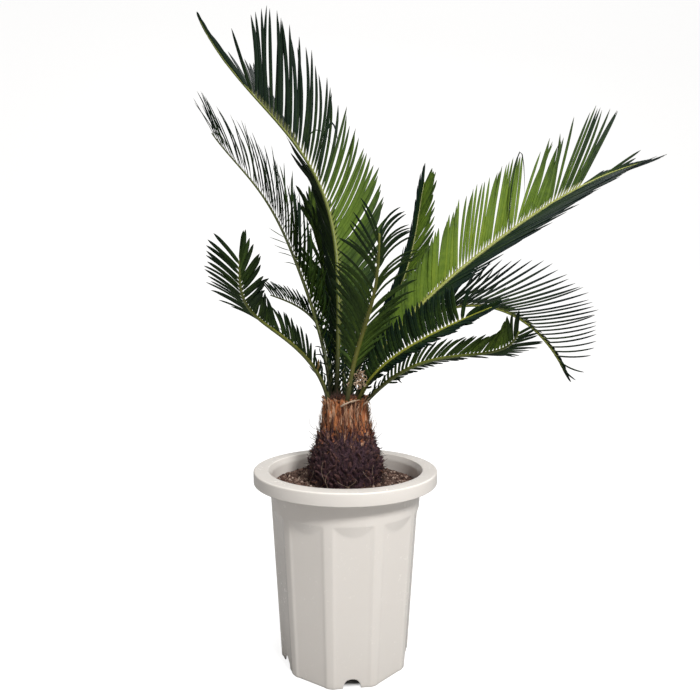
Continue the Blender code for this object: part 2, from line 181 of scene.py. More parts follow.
def circle(sides, high=1.0):
    return [(cos(t), high * sin(t)) for t in np.linspace(0, 2 * pi, sides, endpoint=False)]


def sweep(pile, line, faces, widths, heights, section, slot=0, **marks):
    """Adds a tube along line, with its section's y along faces. A mark has one value, or more by ring."""
    line, section = np.asarray(line, float), np.asarray(section, float)
    ways = unit(np.gradient(line, axis=0))
    sides = unit(np.cross(ways, faces))
    ups = unit(np.cross(sides, ways))
    x, y = section[:, 0] * np.asarray(widths)[:, None], section[:, 1] * np.asarray(heights)[:, None]
    rings = line[:, None] + sides[:, None] * x[..., None] + ups[:, None] * y[..., None]
    for key, value in marks.items():
        value = np.asarray(value, float)
        if value.ndim:
            value = np.broadcast_to(value.reshape(len(line), -1), x.shape)
            marks[key] = np.concatenate([value.ravel(), value[0, :1], value[-1, :1]])
    quads, tris = tube_faces(len(line), len(section))
    points = np.concatenate([rings.reshape(-1, 3), line[:1], line[-1:]])
    pile.add(points, quads[:, ::-1], tris[:, ::-1], slot, **marks)


# Materials

class Look:
    """A material made of nodes, with short ways to add and join them."""

    def __init__(self, name):
        self.material = bpy.data.materials.new(name)
        self.material.use_nodes = True
        self.tree = self.material.node_tree
        self.tree.nodes.clear()

    def put(self, kind, *values, out=0, settings=(), **inputs):
        """A new node's output. Values go to its first inputs, and the rest by name, with _ for a space."""
        node = self.tree.nodes.new("ShaderNode" + kind)
        for key, value in dict(settings).items():
            setattr(node, key, value)
        for value, socket in zip(values, node.inputs):
            self.plug(value, socket)
        for key, value in inputs.items():
            name = key.replace("_", " ").lower()
            self.plug(value, next(s for s in node.inputs if s.name.lower() == name and s.enabled))
        return node.outputs[out]

    def plug(self, value, socket):
        if isinstance(value, bpy.types.NodeSocket):
            self.tree.links.new(value, socket)
        else:
            socket.default_value = (*value, 1) if isinstance(value, tuple) and socket.type == "RGBA" else value

    def mark(self, name):
        return self.put("Attribute", out=2, settings={"attribute_name": name})

    def math(self, kind, a, b=0.0, clamp=False):
        return self.put("Math", a, b, settings={"operation": kind, "use_clamp": clamp})

    def plus(self, a, b, clamp=False):
        return self.math("ADD", a, b, clamp)

    def times(self, a, b):
        return self.math("MULTIPLY", a, b)

    def span(self, value, low, high, to_low=0.0, to_high=1.0):
        """The value's place between low and high, as a number between to_low and to_high."""
        return self.put("MapRange", value, low, high, to_low, to_high, settings={"clamp": True})

    def mix(self, share, one, two, way="MIX"):
        node = self.put("Mix", settings={"data_type": "RGBA", "blend_type": way}).node
        for number, value in ((0, share), (6, one), (7, two)):
            self.plug(value, node.inputs[number])
        return node.outputs[2]

    def over(self, colour, value, low, high, to_low, to_high, tint):
        """The colour with a tint laid over it, as strongly as the value's place between low and high says."""
        return self.mix(self.span(value, low, high, to_low, to_high), colour, tint)

    def ramp(self, level, *stops):
        """Colours by level; each stop is its position and three colour numbers."""
        output = self.put("ValToRGB", level)
        elements = output.node.color_ramp.elements
        while len(elements) < len(stops):
            elements.new(0.5)
        for element, (position, *colour) in zip(elements, stops):
            element.position, element.color = position, (*colour, 1)
        return output

    def noise(self, scale, detail, rough, at=None):
        given = {"Vector": at} if at is not None else {}
        return self.put("TexNoise", Scale=scale, Detail=detail, Roughness=rough, **given)

    def place(self):
        return self.put("TexCoord", out=3)

    def lengthwise(self, z):
        """Places for a grain that runs up the object, drawn out by the share z."""
        return self.put("Mapping", Vector=self.place(), Scale=(1.0, 1.0, z))

    def bump(self, height, distance, strength):
        return self.put("Bump", Height=height, Distance=distance, Strength=strength)

    def skin(self, colour, rough, normal, **uniform):
        return self.put("BsdfPrincipled", Base_Color=colour, Roughness=rough, Normal=normal, **uniform)

    def finish(self, shader):
        self.tree.links.new(shader, self.tree.nodes.new("ShaderNodeOutputMaterial").inputs["Surface"])
        return self.material


def leaf_look():
    """Waxy leaflets: blue-green or yellow-green by their tone, which holds painted light as well as their own
    colour, pale at the root, dark at the spine tip.
    """
    look = Look("leaf_green")
    tone, along, across, draw = (look.mark(key) for key in ("tone", "along", "across", "draw"))
    place = look.put("CombineXYZ", look.times(across, 2.2), look.times(along, 5.0), look.times(draw, 40.0))
    streak, patch = look.noise(2.6, 4.0, 0.6, place), look.noise(38.0, 3.0, 0.6)
    # The tone paints light into the colour: high where light shines through a rank, low where a rank is in
    # shade, on top of the leaflets' own colour.
    level = look.plus(tone, look.span(streak, 0.3, 0.7, -0.1, 0.1))
    level = look.plus(level, look.span(patch, 0.3, 0.7, -0.07, 0.07))
    level = look.plus(level, look.span(along, 0.35, 1.0, 0.03, -0.17))
    level = look.plus(level, look.span(draw, 0.0, 1.0, -0.09, 0.09), clamp=True)
    colour = look.ramp(level, (0.0, 0.0018, 0.01, 0.011), (0.22, 0.0105, 0.027, 0.008),
                       (0.42, 0.04, 0.078, 0.012), (0.68, 0.15, 0.245, 0.027), (1.0, 0.33, 0.43, 0.05))
    rib = look.span(look.math("ABSOLUTE", across), 0.0, 0.16, 1.0, 0.0)
    lit = look.span(level, 0.05, 0.45, 0.35, 1.0)
    colour = look.mix(look.times(look.times(rib, lit), 0.3), colour, (0.14, 0.22, 0.05))
    colour = look.mix(look.times(look.times(look.mark("under"), lit), 0.22), colour, (0.1, 0.16, 0.045))
    root = look.times(look.span(along, 0.015, 0.085, 1.0, 0.0), look.mark("pale"))
    colour = look.mix(root, colour, (0.44, 0.46, 0.17))
    colour = look.over(colour, along, 0.955, 0.99, 0.0, 0.85, (0.02, 0.014, 0.007))
    straw = look.mix(streak, (0.3, 0.17, 0.06), (0.48, 0.33, 0.14))
    colour = look.mix(look.mark("dry"), colour, straw)
    bump = look.bump(streak, 0.0004, 0.35)
    skin = look.skin(colour, look.span(patch, 0.3, 0.7, 0.42, 0.55), bump, Specular_IOR_Level=0.11)
    glow = look.mix(0.5, colour, (0.35, 0.55, 0.06), "MULTIPLY")
    through = look.put("BsdfTranslucent", Color=look.mix(level, glow, (0.3, 0.47, 0.05)), Normal=bump)
    return look.finish(look.put("MixShader", look.span(level, 0.15, 1.0, 0.1, 0.36), skin, through))


def stalk_look():
    """The fronds' stalks: olive to yellow-green, browner at the foot, with a fine length-wise grain."""
    look = Look("stalk_green")
    grain, spots = look.noise(210.0, 4.0, 0.6, look.lengthwise(0.25)), look.noise(90.0, 3.0, 0.6)
    colour = look.mix(look.mark("tone"), (0.03, 0.055, 0.014), (0.33, 0.36, 0.03))
    colour = look.mix(look.mark("warm"), colour, (0.3, 0.14, 0.016))
    colour = look.over(colour, spots, 0.5, 0.66, 0.0, 0.4, (0.075, 0.075, 0.014))
    colour = look.over(colour, grain, 0.4, 0.7, 0.0, 0.3, (0.34, 0.34, 0.06))
    colour = look.mix(look.mark("under"), colour, look.mix(0.5, colour, (0.05, 0.09, 0.02)))
    foot = look.plus(look.mark("along"), look.span(look.mark("draw"), 0, 1, 0, 0.01))
    colour = look.over(colour, foot, 0.03, 0.3, 0.95, 0.0, (0.024, 0.026, 0.01))
    return look.finish(look.skin(colour, look.span(spots, 0.3, 0.7, 0.38, 0.55), look.bump(grain, 0.0006, 0.5)))


def plastic_look():
    """Warm white moulded plastic with a soft gloss, a faint orange peel, light scuffs and a little dust."""
    look = Look("pot_plastic")
    cloud, scuff = look.noise(7.0, 4.0, 0.6), look.noise(42.0, 5.0, 0.7)
    colour = look.mix(cloud, (0.83, 0.79, 0.752), (0.855, 0.82, 0.785))
    colour = look.over(colour, scuff, 0.6, 0.74, 0.0, 0.05, (0.6, 0.56, 0.51))
    colour = look.over(colour, look.noise(620.0, 2.0, 0.5), 0.7, 0.8, 0.0, 0.22, (0.5, 0.45, 0.4))
    rough = look.plus(look.span(scuff, 0.45, 0.72, 0.2, 0.3), look.span(cloud, 0.3, 0.7, -0.03, 0.03))
    peel = look.bump(look.noise(260.0, 2.0, 0.5), 0.00004, 0.1)
    return look.finish(look.skin(colour, rough, peel, Coat_Weight=0.25, Coat_Roughness=0.12,
                                 Subsurface_Weight=0.06, Subsurface_Radius=(0.01, 0.009, 0.008)))


def soil_look():
    """Dark granular soil."""
    look = Look("soil_brown")
    fine, coarse = look.noise(900.0, 4.0, 0.7), look.noise(160.0, 4.0, 0.65)
    colour = look.mix(look.span(coarse, 0.35, 0.65), (0.056, 0.033, 0.027), (0.18, 0.11, 0.086))
    colour = look.over(colour, fine, 0.56, 0.7, 0.0, 0.75, (0.37, 0.245, 0.185))
    bump = look.bump(look.plus(fine, look.times(coarse, 2.0)), 0.0016, 0.9)
    return look.finish(look.skin(colour, 0.93, bump, Specular_IOR_Level=0.2))


def grain_look():
    """Single grains on the soil: dark bark, brown lumps and pale tan crumbs, by each one's own draw."""
    look = Look("soil_grain")
    fine = look.noise(1300.0, 3.0, 0.65)
    colour = look.ramp(look.mark("draw"), (0.0, 0.032, 0.018, 0.016), (0.3, 0.1, 0.056, 0.045),
                       (0.6, 0.21, 0.128, 0.1), (0.82, 0.37, 0.25, 0.2), (1.0, 0.66, 0.52, 0.43))
    colour = look.over(colour, fine, 0.35, 0.7, 0.0, 0.5, (0.035, 0.02, 0.015))
    return look.finish(look.skin(colour, 0.88, look.bump(fine, 0.0007, 0.7), Specular_IOR_Level=0.25))


def bark_look():
    """Trunk scales: purple-black low down, orange-brown and streaky near the crown, with paler frayed tips; low
    down, painted highlights on the scales' outer ends and on reddish speckles, and painted shade in dark
    speckles.
    """
    look = Look("bark")
    tone, along, draw = (look.mark(key) for key in ("tone", "along", "draw"))
    streak = look.noise(130.0, 5.0, 0.68, look.lengthwise(0.17))
    spots, blotch = look.noise(420.0, 4.0, 0.7), look.noise(48.0, 3.0, 0.6)
    low = look.mix(look.span(blotch, 0.35, 0.66), (0.012, 0.005, 0.016), (0.074, 0.034, 0.05))
    low = look.over(low, draw, 0.8, 1.0, 0.0, 0.5, (0.2, 0.088, 0.068))
    low = look.over(low, draw, 0.0, 0.3, 0.75, 0.0, (0.006, 0.003, 0.007))
    # Reddish speckles, partly the scales' own colour and partly painted highlights; the dark speckles below are
    # painted shade in the crevices.
    low = look.over(low, spots, 0.54, 0.64, 0.0, 0.75, (0.25, 0.13, 0.115))
    low = look.over(low, spots, 0.34, 0.44, 0.6, 0.0, (0.006, 0.003, 0.006))
    streaky = look.span(streak, 0.36, 0.64)
    orange = look.mix(streaky, (0.18, 0.046, 0.018), (0.74, 0.275, 0.105))
    tan = look.mix(streaky, (0.32, 0.145, 0.082), (0.86, 0.52, 0.335))
    high = look.over(look.mix(look.span(draw, 0.62, 0.72), orange, tan), draw, 0.22, 0.32, 0.9, 0.0,
                     (0.04, 0.013, 0.009))
    level = look.plus(tone, look.span(blotch, 0.3, 0.7, -0.12, 0.12))
    colour = look.over(low, level, 0.5, 0.68, 0.0, 1.0, high)
    # Paler tan ends: frayed tips on the upper scales, and a faint painted highlight on the low ones.
    edge = look.times(look.span(along, 0.72, 1.0, 0.0, 0.55), look.span(tone, 0.3, 0.6, 0.12, 0.8))
    colour = look.mix(edge, colour, (0.58, 0.37, 0.21))
    # Painted highlight: the outer halves of the lower scales are lighter pinkish brown, as if lit along their
    # ridges.
    tip = look.times(look.span(along, 0.42, 0.6, 0.0, 0.45), look.span(tone, 0.45, 0.6, 1.0, 0.0))
    colour = look.mix(tip, colour, (0.17, 0.09, 0.075))
    colour = look.over(colour, streak, 0.6, 0.74, 0.0, 0.45, (0.02, 0.01, 0.008))
    bump = look.bump(look.plus(streak, look.times(spots, 0.5)), 0.0018, 0.9)
    return look.finish(look.skin(colour, look.span(streak, 0.3, 0.7, 0.62, 0.86), bump, Specular_IOR_Level=0.3))


def fibre_look():
    """Fibres, wool, rootlets and dried strips, from purple-black through red-brown to tan by their tone."""
    look = Look("fibre")
    fine = look.noise(600.0, 3.0, 0.6, look.lengthwise(0.3))
    level = look.plus(look.mark("tone"), look.span(look.mark("draw"), 0.0, 1.0, -0.12, 0.12))
    level = look.plus(level, look.span(fine, 0.3, 0.7, -0.06, 0.06), clamp=True)
    colour = look.ramp(level, (0.0, 0.012, 0.007, 0.01), (0.35, 0.06, 0.024, 0.016), (0.6, 0.2, 0.082, 0.032),
                       (0.8, 0.33, 0.205, 0.12), (1.0, 0.56, 0.43, 0.32))
    return look.finish(look.skin(colour, look.span(fine, 0.3, 0.7, 0.6, 0.8), look.bump(fine, 0.0004, 0.5)))


def stage_look():
    """A plain pale sweep that looks nearly white and yet throws little light back on the plant, with a painted
    shadow: a dark disc under the pot where its glow is left out.
    """
    look = Look("sweep_white")
    pale = look.mix(look.noise(0.6, 2.0, 0.5), (0.37, 0.37, 0.37), (0.39, 0.39, 0.39))
    skin = look.put("BsdfDiffuse", Color=pale)
    # Painted shadow: the glow fades out within 77 to 84 mm of the middle, leaving a dark disc under the pot's
    # foot.
    from_axis = look.put("VectorMath", look.place(), out=1, settings={"operation": "LENGTH"})
    clear = look.span(from_axis, 0.077, 0.084)
    strength = look.times(look.times(look.put("LightPath"), clear), 0.84)
    shine = look.put("Emission", Color=(1.0, 1.0, 1.0), Strength=strength)
    return look.finish(look.put("AddShader", skin, shine))


# Pot

def cone_radius(z):
    return FOOT_RADIUS + (BODY_RADIUS - FOOT_RADIUS) * z / POT_HEIGHT


def smooth(x):
    x = np.clip(x, 0, 1)
    return x * x * (3 - 2 * x)


def wall_radius(angles, z):
    """Radius of the pot's outer wall: a round cone with ten flat panels sunk in between its ribs."""
    from_rib = np.abs((angles - FIRST_RIB + PITCH / 2) % PITCH - PITCH / 2)
    round_part = cone_radius(z)
    flat = round_part - (round_part - PANEL_DEPTH) / np.cos(PITCH / 2 - from_rib)
    slope = PANEL_DEPTH * np.maximum((PANEL_TOP - z) / LENS, 0)
    depth = np.maximum((flat + slope - np.sqrt((flat - slope) ** 2 + PANEL_ROUND ** 2)) / 2, 0)
    return round_part - depth * smooth((from_rib - RIB_HALF * 0.75) / (RIB_FLANK * 1.5))


def pot_angles():
    """Directions of the pot's points, closer together at the ribs' edges and across the slots."""
    steps = [*np.linspace(-1.9, 1.9, 9), *np.linspace(2.2, 4.4, 7), *np.linspace(5.4, 16.4, 12)]
    steps += [-s for s in steps if s > 2] + [18.0]
    half_slot = np.arcsin(SLOT_RADIUS / FOOT_RADIUS)
    angles = []
    for panel in range(PANELS):
        rib, slotted = FIRST_RIB + PITCH * panel, panel % 2 == 1
        for step in steps:
            from_middle = radians(step) - PITCH / 2
            beside_slot = min(abs(from_middle), abs(from_middle + PITCH)) < half_slot + radians(0.4)
            right_panel = step > 0 if slotted else step < 0
            if not (right_panel and beside_slot) or step == 18.0:
                angles.append(rib + radians(step))
        if slotted:
            middle, beside = rib + PITCH / 2, half_slot + radians(0.15)
            across = SLOT_RADIUS * np.sin(np.linspace(-pi / 2, pi / 2, 23))
            angles += [*(middle + np.arcsin(across / FOOT_RADIUS)), middle - beside, middle + beside]
    angles = np.sort(np.array(angles) % (2 * pi))
    return angles[np.append(np.diff(angles) > radians(0.02), True)]


def slot_height(angles):
    """Height of the bottom edge, which five arched slots raise."""
    off = (angles - (FIRST_RIB + 1.5 * PITCH) + PITCH) % (2 * PITCH) - PITCH
    across = FOOT_RADIUS * np.sin(off)
    inside = (np.abs(off) < PITCH / 2) & (np.abs(across) < SLOT_RADIUS - 1e-6)
    return np.where(inside, np.sqrt(np.maximum(SLOT_RADIUS ** 2 - across ** 2, 0)), 0.0)


def drill(pot):
    """Cuts the drain holes through the floor."""
    cutters = bpy.data.collections.new("drain_holes")
    for i in range(0, PANELS, 2):
        angle = FIRST_RIB + PITCH * (i + 0.5)
        hole, mesh = bmesh.new(), bpy.data.meshes.new("drain")
        place = Matrix.Translation((DRAIN_CIRCLE * cos(angle), DRAIN_CIRCLE * sin(angle), FLOOR_UNDER))
        bmesh.ops.create_cone(hole, cap_ends=True, segments=28, radius1=DRAIN_RADIUS, radius2=DRAIN_RADIUS,
                              depth=0.012, matrix=place)
        hole.to_mesh(mesh)
        hole.free()
        cutters.objects.link(bpy.data.objects.new("drain", mesh))
    boolean = pot.modifiers.new("drains", "BOOLEAN")
    boolean.operation, boolean.operand_type, boolean.collection = "DIFFERENCE", "COLLECTION", cutters
    cut = bpy.data.meshes.new_from_object(pot.evaluated_get(bpy.context.evaluated_depsgraph_get()))
    pot.modifiers.clear()
    pot.data = cut
    for hole in list(cutters.objects):
        bpy.data.objects.remove(hole, do_unlink=True)
    bpy.data.collections.remove(cutters)
    cut.shade_smooth()
    cut.set_sharp_from_angle(angle=radians(50))


def make_pot(surface):
    """The pot, ring by ring: out under its floor, up its wall, round its rim and down to its floor."""
    angles = pot_angles()
    foot = slot_height(angles)
    rings = []

    def wall(z):
        return wall_radius(angles, z)

    def ring(radius, z):
        z = np.broadcast_to(z, angles.shape)
        rings.append(np.stack([np.cos(angles) * radius, np.sin(angles) * radius, z], -1))

    def rounded(start, end, corner, steps):
        """A rounded corner from one (radius, height) to the next, by way of the sharp corner between them."""
        for t in np.linspace(0, 1, steps + 1):
            ring(*((1 - t) ** 2 * s + 2 * t * (1 - t) * c + t ** 2 * e for s, c, e in zip(start, corner, end)))

    under, band_foot, lip = POT_HEIGHT - RIM_THICK, POT_HEIGHT - RIM_BAND, POT_HEIGHT - 0.0062
    inside, outside, body = RIM_RADIUS - RIM_THICK, RIM_RADIUS - 0.0001, cone_radius(under)
    # The pad, the floor's underside and the bottom edge
    ring(PAD_RADIUS * 0.4, 0.0)
    ring(PAD_RADIUS - 0.0012, 0.0)
    rounded((PAD_RADIUS - 0.0008, 0.0), (PAD_RADIUS + 0.0002, 0.0012), (PAD_RADIUS, 0.0), 2)
    ring(PAD_RADIUS + 0.0016, FLOOR_UNDER - 0.001)
    ring(PAD_RADIUS + 0.003, FLOOR_UNDER)
    ring(DRAIN_CIRCLE, FLOOR_UNDER)
    ring(wall(FLOOR_UNDER) - WALL - 0.0015, FLOOR_UNDER)
    ring(wall(FLOOR_UNDER) - WALL, np.maximum(FLOOR_UNDER - 0.001, foot + 0.0001))
    for inset, z in ((WALL, np.maximum(foot, 0.0006)), (WALL * 0.75, foot + 0.00005), (WALL * 0.25, foot),
                     (0.00005, foot + 0.0005)):
        ring(wall(0.0) - inset, z)
    # The outer wall
    for t in (0.25, 0.6):
        z = foot + (WALL_START - foot) * t
        ring(wall(0.0) + (cone_radius(z) - FOOT_RADIUS), z)
    for z in (*np.linspace(WALL_START, PANEL_TOP - LENS * 1.5, 7),
              *np.linspace(PANEL_TOP - LENS * 1.4, PANEL_TOP + 0.001, 24)):
        ring(wall(z), z)
    for z in (0.5 * (PANEL_TOP + under), under - 0.0022):
        ring(cone_radius(z), z)
    # The rim, from its underside by its outer band to its inner edge
    rounded((cone_radius(under - 0.0018), under - 0.0018), (body + 0.0018, under), (body, under), 3)
    rounded((inside - 0.002, under), (inside, under - 0.002), (inside, under), 3)
    ring(inside, band_foot + 0.0008)
    rounded((inside + 0.0001, band_foot + 0.0006), (RIM_RADIUS - 0.0014, band_foot),
            (inside + 0.0001, band_foot), 2)
    rounded((RIM_RADIUS - 0.0013, band_foot), (RIM_RADIUS - 0.0004, band_foot + 0.0012),
            (RIM_RADIUS - 0.0004, band_foot), 3)
    ring(RIM_RADIUS - 0.0002, POT_HEIGHT - 0.5 * RIM_BAND)
    rounded((outside, POT_HEIGHT - RIM_ROUND), (RIM_RADIUS - RIM_ROUND * 1.3, POT_HEIGHT - 0.0002),
            (outside, POT_HEIGHT), 6)
    ring(0.5 * (RIM_RADIUS + RIM_INNER), POT_HEIGHT)
    rounded((RIM_INNER + 0.0022, POT_HEIGHT - 0.0001), (RIM_INNER - 0.0002, POT_HEIGHT - 0.0026),
            (RIM_INNER, POT_HEIGHT), 5)
    # The inner wall and the floor
    ring(cone_radius(lip) - WALL + 0.0002, lip)
    for z in np.linspace(lip - 0.004, PANEL_TOP + 0.004, 5):
        ring(cone_radius(z) - WALL, z)
    for z in (*np.linspace(PANEL_TOP, PANEL_TOP - LENS * 1.4, 18), FLOOR_TOP + 0.001):
        ring(wall(z) - WALL, z)
    ring(wall(FLOOR_TOP) - WALL - 0.001, FLOOR_TOP)
    ring(DRAIN_CIRCLE, FLOOR_TOP)
    pile = Pile()
    pile.add(np.concatenate([*rings, [[0, 0, 0], [0, 0, FLOOR_TOP]]]), *tube_faces(len(rings), len(angles)))
    pot = pile.make("pot_fine", [surface])
    drill(pot)
    return pot


# Soil

def soil_level(x, y):
    """Height of the soil's surface: a low mound against the trunk, uneven by a millimetre or two."""
    level = np.interp(sqrt(x * x + y * y), (0.0495, 0.062, SOIL_MID, 0.1045),
                      (SOIL_CROWN, SOIL_CROWN - 0.0005, (SOIL_EDGE + SOIL_CROWN) / 2, SOIL_EDGE))
    for scale, seed, height in ((22, 1.7, 0.0022), (95, 4.1, 0.0011), (330, 9.3, 0.0006)):
        level += noise.noise(Vector((x * scale, y * scale, seed))) * height
    return float(level)


def make_soil(surface):
    """The soil's body, with its uneven surface and the hole that the trunk's stub stands in."""
    around = 300
    angles = np.linspace(0, 2 * pi, around, endpoint=False)
    edge = cone_radius(SOIL_EDGE) - WALL - 0.0003
    below = 0.0003
    rings = []

    def ring(radius, z):
        rings.append(np.stack([radius * np.cos(angles), radius * np.sin(angles), np.full(around, z)], -1))

    heights = [PANEL_TOP - LENS * share for share in (1.4, 1.25, 1.1, 0.9, 0.7, 0.5, 0.3, 0.1, -0.1)]
    for z in (FLOOR_TOP + below, *heights, SOIL_EDGE - 0.006):
        ring(np.minimum(wall_radius(angles, z) - WALL - 0.0008, edge), z)
    for radius in np.linspace(edge, 0.0492, 64):
        xy = [(radius * cos(a), radius * sin(a)) for a in angles]
        rings.append(np.array([(x, y, soil_level(x, y)) for x, y in xy]))
    ring(0.049, SOIL_CROWN - 0.01)
    ring(STUB_RADIUS + 0.0014, STUB_BOTTOM - below)
    pile = Pile()
    pile.add(np.concatenate([*rings, [[0, 0, FLOOR_TOP + below], [0, 0, STUB_BOTTOM - below]]]),
             *tube_faces(len(rings), around))
    return pile.make("soil_fine", [surface])


def lump(subdivisions):
    bm = bmesh.new()
    bmesh.ops.create_icosphere(bm, subdivisions=subdivisions, radius=1.0)
    points = np.array([v.co[:] for v in bm.verts])
    tris = np.array([[v.index for v in f.verts] for f in bm.faces])
    bm.free()
    return points, tris


def make_grains(surface):
    """Loose grains and crumbs, half sunk in the soil."""
    draw = np.random.default_rng(SEED)
    plain, fine = lump(1), lump(2)
    pile = Pile()
    wall = cone_radius(SOIL_EDGE) - WALL - 0.0016
    for _ in range(GRAINS):
        radius = sqrt(draw.uniform(0.0475 ** 2, wall ** 2))
        angle = draw.uniform(0, 2 * pi)
        size = 0.00055 + 0.0016 * draw.random() ** 3.2
        if draw.random() < 0.012:
            size = draw.uniform(0.002, 0.0029)
        radius = min(radius, wall - size)
        x, y = radius * cos(angle), radius * sin(angle)
        points, tris = fine if size > 0.0016 else plain
        wobble = 1 + 0.22 * np.sin(points @ draw.normal(0, 2.4, 3) + draw.uniform(0, 6))
        stretch = draw.uniform(0.6, 1.25, 3)
        turn = np.linalg.qr(draw.normal(0, 1, (3, 3)))[0]
        if np.linalg.det(turn) < 0:
            turn[:, 0] *= -1
        shaped = (points * wobble[:, None] * stretch) @ turn.T * size
        front_left = 0.5 + 0.5 * cos(angle - radians(235))
        tone = draw.random() ** (1.55 - 0.75 * front_left)
        pile.add(shaped + (x, y, soil_level(x, y) + size * draw.uniform(-0.05, 0.45)), [], tris, draw=tone)
    return pile.make("soil_grains", [surface], smooth=False)


# Trunk

SCALE_SECTION = [(-1.0, -0.9), (-0.8, 0.15), (-0.42, 0.72), (0.0, 1.0), (0.42, 0.72), (0.8, 0.15), (1.0, -0.9)]
# Scale shapes: shares of the length, and the width and thickness there
LONG_SCALE = np.array([(0, 0.8, 1.4), (0.08, 0.95, 1.2), (0.22, 1.0, 1.0), (0.4, 0.92, 0.9),
                       (0.58, 0.74, 0.7), (0.74, 0.5, 0.55), (0.87, 0.26, 0.4), (1.0, 0.05, 0.2)]).T
SHORT_SCALE = np.array([(0, 0.85, 1.0), (0.15, 1.0, 1.1), (0.35, 0.95, 1.1), (0.58, 0.82, 1.0),
                        (0.78, 0.64, 0.9), (0.92, 0.44, 0.75), (1.0, 0.2, 0.5)]).T
THREAD = [(1.0, 0.0), (-0.5, 0.87), (-0.5, -0.87)]
STRIP = [(-1.0, 0.0), (-0.4, 0.9), (0.5, 0.8), (1.0, 0.0), (0.4, -0.5), (-0.5, -0.5)]
# Compass, height of the top, drift in degrees, radius
ROOTLETS = ((248, 0.272, -10, 0.0005), (236, 0.281, 6, 0.0006), (283, 0.262, -16, 0.0005),
            (300, 0.27, 9, 0.00045), (262, 0.258, 20, 0.0004), (215, 0.268, -8, 0.0005),
            (318, 0.276, -12, 0.0005), (20, 0.27, 10, 0.0005), (80, 0.272, -12, 0.0005),
            (140, 0.266, 12, 0.0005), (180, 0.274, -9, 0.0005))


class Strip(NamedTuple):
    """A dried strip on the trunk, in millimetres: its foot by compass, height and radius, and its path."""

    compass: float
    z: float
    radius: float
    steps: tuple  # (sideways, outwards, upwards) of its further points
    width: float
    tone: float


STRIPS = (
    Strip(257, 355, 33.5, ((7, 1.5, 4), (14, 1, 7.2), (21.5, -1, 10)), 1.3, .97),
    Strip(283, 360, 33, ((5, 2, 3), (10, 1, 4), (13, -1, 3.5)), 1.1, .93),
    Strip(322, 356, 33, ((3, 3, 4), (7, 4, 3), (10, 3, -1)), 1.4, .92),
    Strip(336, 360, 31, ((2, 3, 3), (5, 5, 5), (9, 5, 4)), 1.1, .98),
    Strip(345, 352, 33, ((2, 2, -3), (1, 3, -9), (-2, 3, -14)), 1, .88),
    Strip(352, 316, 40, ((0, 4, 6), (0, 4, 14), (1, 1, 24)), .6, .3),
    Strip(338, 318, 40, ((0, 5, 8), (1, 5, 17), (0, 2, 28)), .5, .75),
    Strip(188, 319, 39.5, ((0, 9, 4), (0, 12, 12), (0, 11.5, 22)), .7, .15),
    Strip(196, 310, 42.5, ((0, 5, 3), (0, 9, 7), (0, 13, 9)), 1, .1),
    Strip(176, 303, 45, ((0, 4, 2), (0, 7, 4), (0, 9, 3)), .8, .08),
    Strip(4, 304, 44, ((0, 4, 4), (0, 7, 7), (0, 9, 11)), .8, .08),
    Strip(110, 354, 32.5, ((-4, 2, 4), (-9, 3, 7), (-14, 1, 8)), 1.2, .9),
    Strip(60, 357, 32, ((3, 3, 4), (7, 4, 5), (10, 6, 3)), 1.2, .88),
)


def trunk_radius(z):
    return np.interp(z, TRUNK_HEIGHTS, TRUNK_RADII)


def outward(angle):
    return np.array([cos(angle), sin(angle), 0.0])


def upper_part(height):
    """0 on the trunk's lower half, 1 on its upper half, by height as a share."""
    return smooth((height - 0.5) / 0.16)


def make_core(surface):
    """The trunk's body under its scales, its stub in the soil and the dome that the fronds grow from."""
    around = 96
    angles = np.linspace(0, 2 * pi, around, endpoint=False)
    profile = [(STUB_RADIUS * 0.5, STUB_BOTTOM), (STUB_RADIUS, STUB_BOTTOM + 0.0005),
               (0.047, SOIL_CROWN - 0.006)]
    profile += [(float(trunk_radius(z)) - 0.0012, z) for z in np.linspace(SOIL_CROWN, TRUNK_TOP, 40)]
    top = float(trunk_radius(TRUNK_TOP))
    profile += [(share * top, TRUNK_TOP + (1 - share ** 2) * CROWN_RISE) for share in (0.9, 0.75, 0.5, 0.25)]
    points, tones = [], []
    for radius, z in profile:
        for a in angles:
            bumpy = noise.noise(Vector((cos(a) * 5, sin(a) * 5, z * 130))) * 0.0012 if z > SOIL_CROWN else 0.0
            points.append(((radius + bumpy) * cos(a), (radius + bumpy) * sin(a), z))
        tones += [np.interp(z, (0.245, 0.305, 0.325, 0.362), (0.0, 0.1, 0.5, 0.7))] * around
    points += [(0, 0, STUB_BOTTOM), (0, 0, TRUNK_TOP + CROWN_RISE)]
    pile = Pile()
    pile.add(points, *tube_faces(len(profile), around), tone=np.array(tones + [0.0, 0.4]), draw=0.3)
    return pile.make("caudex_core", [surface])


def in_stalk(point, stalks):
    """True where a scale's or fibre's point would stand in a frond's stalk."""
    return any(np.min(np.linalg.norm(line - point, axis=1)) < STALK_ROOM for line in stalks)


